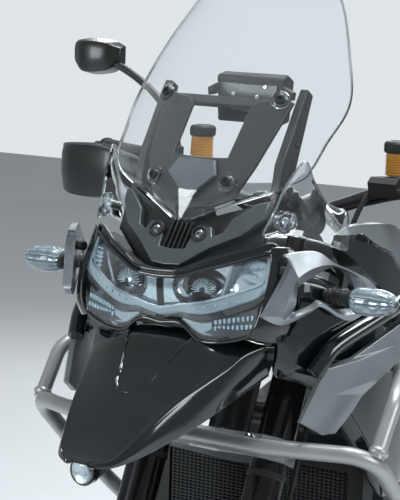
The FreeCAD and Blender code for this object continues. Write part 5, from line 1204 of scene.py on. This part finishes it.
def mirror(name, side):
    rows = [(-48, -10, 8, -12, 20), (-24, -12, 20, -26, 28), (19.2, -12, 22, -30, 30), (48, -10, 6, -16, 26)]
    centre = at_bar(-64, 412 * side, 216)
    sections = []
    for y, back, front, low, high in rows:
        sections.append([
            (centre[0] + a, centre[1] + y * side, centre[2] + b)
            for a, b in ((back, low), (back + 5, low), (front - 3, low + 5), (front, low + 12),
            (front, high - 12), (front - 3, high - 4), (back + 5, high), (back, high))])
    lofted(
        f"mirror_shell_{name}", sections, SATIN_BLACK, body="steering", along=30,
        stands_for=on_left(side, "mirrors"), angle=34, bevel=1.5)
    glass = [
        (centre[0] - 12.6, centre[1] + y * side, centre[2] + z)
        for y, z in ((-44, -9), (-24, -22), (19, -26), (42, -14), (42, 21), (19, 25), (-24, 23), (-44, 15))]
    behind = [(x + 2, y, z) for x, y, z in glass]
    prism(f"mirror_glass_{name}", glass, behind, MIRROR, body="steering", bevel=0.6)
    stalk = [(-42, 232, 70), (-48, 246, 126), (-60, 330, 192), (-60, 392, 212)]
    rod(f"mirror_stalk_{name}", on_bar(stalk, side), 6.5, BLACK_STEEL, body="steering")
    turned(
        f"mirror_foot_{name}", [(0.1, 0), (11, 0), (11, 14), (9, 16), (9, 28), (7, 30), (0.1, 30)],
        at_bar(-41, 231 * side, 51), (0, 0, 1), BLACK_STEEL, body="steering", count=6, bevel=0.5)


ROUTES = {  # the brake hoses' points
    "right": [(386.1, -150, 1146.1), (420.1, -140, 1108.1), (427.3, -128, 989.7), (474.4, -127, 877.1),
              (533.5, -127, 739.3), (585.9, -127, 609.4), (616.6, -118, 492.0), (621.6, -92, 424.5)],
    "left": [(388.1, 150, 1146.1), (424.1, 138, 1104.1), (432.0, 128, 978.6), (478.3, 127, 867.9),
             (537.4, 127, 730.1), (589.8, 127, 600.2), (618.2, 118, 488.3), (621.6, 92, 424.5)]}


def hose_length(piece):
    """Length of the smooth line itself, from the same curve without its round section."""
    data = piece.data.copy()
    data.bevel_depth = 0
    bare = bpy.data.objects.new("bare", data)
    mesh = bpy.data.meshes.new_from_object(bare)
    points = [v.co for v in mesh.vertices]
    total = sum((b - a).length for a, b in zip(points, points[1:]))
    bpy.data.objects.remove(bare)
    bpy.data.meshes.remove(mesh)
    return total


def hoses():
    for name, points in ROUTES.items():
        hose = rod(
            f"brake_hose_{name}", points, 4, RUBBER, body="steering",
            stands_for="brake_hoses" if name == "left" else "", resolution=14)
        hose_length(hose)


def at_steering(ahead, side, along):
    return STEER_ROOT + STEER_AHEAD * ahead + SIDEWAYS * side + STEER_AXIS * along


def fork_details():
    for name, side in SIDES:
        def leg(along):
            return at_steering(FORK_OFFSET, FORK_TRACK * side, along)

        turned(
            f"stanchion_{name}", [(24.4, 68), (24.4, 256)], leg(0), STEER_AXIS, STAINLESS, 48,
            body="steering")
        guard = []
        for along, reach, r in (
                (72, 1.2, 33.5), (90, 1.5, 33.5), (250, 1.5, 33.5), (266, 1.35, 33), (300, 1.2, 33)):
            turns = [reach * (k - 8) / 8 for k in range(17)]
            guard.append([
                leg(along) + (STEER_AHEAD * math.cos(t) + SIDEWAYS * math.sin(t)) * r for t in turns])
        sheet_piece(
            f"fork_guard_{name}", np.array(guard), BLACK_PLASTIC, body="steering", solid=2.4, angle=50)
        for along in (30, 450, 500):
            turned(
                f"fork_band_{name}_{along}", [(29.4, -5), (30.6, -4), (30.6, 4), (29.4, 5)], leg(along),
                STEER_AXIS, BLACK_STEEL, 48, body="steering")
        turned(
            f"fork_cap_{name}", [(0.1, 0), (19, 0), (19, 5), (17, 7), (8, 7), (7, 4), (0.1, 4)], leg(775),
            STEER_AXIS, ALLOY_PLATE, 40, body="steering", bevel=0.5)
        for k, along in enumerate((478, 496)):
            spot = at_steering(FORK_OFFSET + 37, (FORK_TRACK - 26) * side, along)
            hex_screw(f"yoke_bolt_{name}_{k}", spot, (RAKE_COS, 0.12 * side, RAKE_SIN), 5.5, body="steering")
        for k, (ahead, along) in enumerate(((-36, 60), (-66, 112))):
            hex_screw(
                f"caliper_bolt_{name}_{k}", at_steering(ahead, 84.5 * side, along), (0, side, 0), 6,
                body="steering")
    turned(
        "stem_nut", [(0.1, 0), (15, 0), (15, 9), (12, 11), (6, 11), (5, 6), (0.1, 6)],
        at_steering(0, 0, 762), STEER_AXIS, SCREW, 6, body="steering", bevel=0.6)


# Wheels

def tyre_skin(name, radius, width, bead, rim_half, centre, body, node, repeat):
    """A tyre turned on its axle with the tread's grooves sunk into its crown."""
    half = width / 2
    profile = [
        (bead + 0.6, -rim_half + 9), (bead + 1, -rim_half + 3.4), (bead + 10, -rim_half + 3.4),
        (bead + 30, -half + 2), (radius - 36, -half), (radius - 24, -half * 0.93),
        (radius - 12, -half * 0.72), (radius - 4.5, -half * 0.42), (radius - 0.6, -half * 0.14)]
    profile += [(r, -y) for r, y in reversed(profile)]
    line = smooth_line(profile, 78)
    turns = repeat * 12
    points = []
    for r, y in line:
        for k in range(turns):
            phase = (k % 12) / 12
            deep = tread(phase, y / half) if r > radius - 30 else 0.0
            t = 2 * math.pi * k / turns
            points.append((centre[0] + (r - deep) * math.cos(t), y, centre[1] + (r - deep) * math.sin(t)))
    faces = grid_faces(len(line), turns, True)
    return make(name, points, faces, TYRE, body, stands_for=node, angle=40)


def tread(phase, across):
    """Depth of the groove at a place in one repeat and across the crown, -1 to 1."""
    a = abs(across)
    lean = (phase + a * 0.9 + (0.5 if across < 0 else 0)) % 1
    if 0.22 < a < 0.27:
        return 5.0
    if a <= 0.22:
        return 4.0 if lean < 0.16 else 0.0
    if a < 0.86:
        return 5.0 if lean < 0.25 else 0.0
    return 0.0


FRONT_AXLE, REAR_AXLE = (760, 325), (-760, 338)
# radius, width, bead radius, half the rim's width
FRONT_TYRE, REAR_TYRE = (325, 120, 241, 46), (318, 170, 216, 64)


def wheels():
    tyre_skin("front_tyre_tread", *FRONT_TYRE, FRONT_AXLE, "front_wheel", "front_tyre", 40)
    tyre_skin("rear_tyre_tread", *REAR_TYRE, REAR_AXLE, "rear_wheel", "rear_tyre", 34)
    for label, axle, well, y, body in (
            ("front", FRONT_AXLE, 224, 5.5, "front_wheel"), ("rear", REAR_AXLE, 199, 7.7, "rear_wheel")):
        nipples = []
        for k, (c, v) in enumerate(circle(32)):
            middle = y if k % 2 else -y
            places = [
                (polar(axle, c, v, r, 3.2 * a), middle + 3.2 * b) for r in (well - 16, well - 5)
                for a, b in rectangle(1, 1)]
            nipples.append([(x, across, z) for (x, z), across in places])
        blocks(f"spoke_nipples_{label}", nipples, SCREW, body=body, bevel=0.8)
    for name, side in SIDES:
        hole_shade_blocks = []
        # Black blocks fill the discs' drilled holes instead of cutting them: painted shade where the dark
        # inside of each hole would be.
        for k, (c, v) in enumerate(circle(36, math.pi / 36)):
            middle = (112, 126, 140)[k % 3]
            places = [
                (polar(FRONT_AXLE, c, v, middle + 3 * a, 3 * b), y) for y in (61.6, 56.2)
                for a, b in rectangle(1, 1)]
            hole_shade_blocks.append([(x, side * y, z) for (x, z), y in places])
        blocks(f"disc_hole_shade_{name}", hole_shade_blocks, BLACK_STEEL, body="front_wheel", bevel=1.4)


# Lower front, engine and tail

def radiator_fins():
    slats = [cuboid((434, -160, 495 + 5.3 * k), (439.4, 160, 496.6 + 5.3 * k)) for k in range(43)]
    blocks("radiator_slats", slats, BLACK_STEEL)
    core = [cuboid((433.5, -158 + 8 * k, 493), (438, -157 + 8 * k, 723)) for k in range(40)]
    blocks("radiator_core", core, ENGINE_GREY)


def bar_details():
    for name, side in SIDES:
        for k, (place, way) in enumerate((
                ((600, 299.5, 808), (-0.55, 0, 0.83)), ((373, 185, 894), (0.77, 0.63, 0.1)),
                ((277, 148, 469), (0.7, 0.7, 0.1)))):
            turned(
                f"bar_weld_{name}_{k}", [(11.5, -6), (14.2, -3), (15, 0), (14.2, 3), (11.5, 6)],
                (place[0], place[1] * side, place[2]), (way[0], way[1] * side, way[2]), BAR_SILVER, count=36)
        spot = (548, 257 * side, 678)
        bezel = [(21, -9), (24.6, -8), (25, 1), (23.5, 3), (21, 3), (20, -1)]
        turned(f"spot_bezel_{name}", bezel, spot, (1, 0, 0), GLOSS_BLACK, count=48, bevel=0.5)
        bowl = [(20.5, 1), (16, 0.8), (10, 0.6), (0.1, 0.5)]
        turned(f"spot_bowl_{name}", bowl, spot, (1, 0, 0), CHROME, count=40)
        lens = [(21, 1), (20, 3.6), (14, 6.4), (7, 7.8), (0.1, 8.2)]
        turned(f"spot_lens_{name}", lens, spot, (1, 0, 0), LENS, count=40)
        hex_screw(f"spot_screw_{name}", (520, 267 * side, 694), (0, 0, 1), 4)


def octagon(x, y, half, z, tall):
    """A section with cut corners, square to the machine's length."""
    return [
        (x, y + a * half, z + b * tall) for a, b in ((-0.5, -1), (0.5, -1), (1, -0.5), (1, 0.5), (0.5, 1),
        (-0.5, 1), (-1, 0.5), (-1, -0.5))]


def engine_details():
    for label, cx, cz, y, radius, side, count in (
            ("alternator", 206, 430, 176, 79, 1, 9), ("clutch", 40, 436, -180, 93, -1, 10),
            ("timing", 230, 410, -172, 52, -1, 6)):
        for k, (c, v) in enumerate(circle(count, 0.2)):
            hex_screw(f"{label}_bolt_{k}", (cx + radius * c, y, cz + radius * v), (0, side, 0), 4.2)
    body = [
        octagon(*row) for row in ((-486, 192, 40, 454, 40), (-546, 196, 58, 476, 66),
        (-856, 200, 60, 600, 72), (-916, 202, 44, 622, 52))]
    lofted("silencer_shell", body, STAINLESS, bevel=5, stands_for="silencer", angle=34)
    turned(
        "silencer_outlet", [(17, -20), (17, 2), (21, 4), (23, 2), (23, -18)], (-917, 202, 622),
        (-0.9, 0, 0.15), BLACK_STEEL, count=40)
    band = [octagon(-840, 201, 61.5, 595, 73.5), octagon(-860, 201, 61.5, 600, 73.5)]
    lofted("silencer_band", band, BLACK_STEEL, bevel=1, angle=30)
    for name, side in SIDES:
        pads = [
            cuboid((-203 + 8 * k, (150 if side > 0 else -236) + 4, 354),
            (-199 + 8 * k, (232 if side > 0 else -154), 357.5)) for k in range(3)]
        blocks(f"peg_rubber_{name}", pads, RUBBER, bevel=0.6)


RACK_BOLT = 60  # from the rack's middle to its bolts, each way


def tail_details():
    lamp = [
        [(-882, y, 812), (-900, y, 814), (-932, y, 822), (-945, y, 846), (-932, y, 873), (-900, y, 870),
        (-882, y, 866)] for y in (-70, -50, 0, 50, 70)]
    lamp = [[(x + (2 if abs(row[0][1]) > 60 else -1), y, z) for x, y, z in row] for row in lamp]
    lofted("tail_lamp_lens", lamp, RED_LENS, along=18, bevel=2, stands_for="tail_lamp", angle=34)
    for dx in (-RACK_BOLT, RACK_BOLT):
        for dy in (-RACK_BOLT, RACK_BOLT):
            turned(
                f"rack_eye_{dx + RACK_BOLT}_{dy + RACK_BOLT}",
                [(3.6, 0.1), (6.5, 0.1), (6.5, 1.4), (3.6, 1.4)], (-908 + dx, dy, 956), (0, 0, 1), SCREW,
                count=24)
    for name, side in SIDES:
        hex_screw(f"plate_screw_{name}", (-1052, 62 * side, 604), (-0.98, 0, 0.18), 4)


aim_camera()
studio()
beak()
headlamp()
cheeks()
nose_cowl()
screen()
screen_plate()
instrument_box()
deflectors()
wings()
indicators()
fairings()
shrouds()
tank()
seats()
bar_pieces()
hoses()
fork_details()
wheels()
radiator_fins()
bar_details()
engine_details()
tail_details()
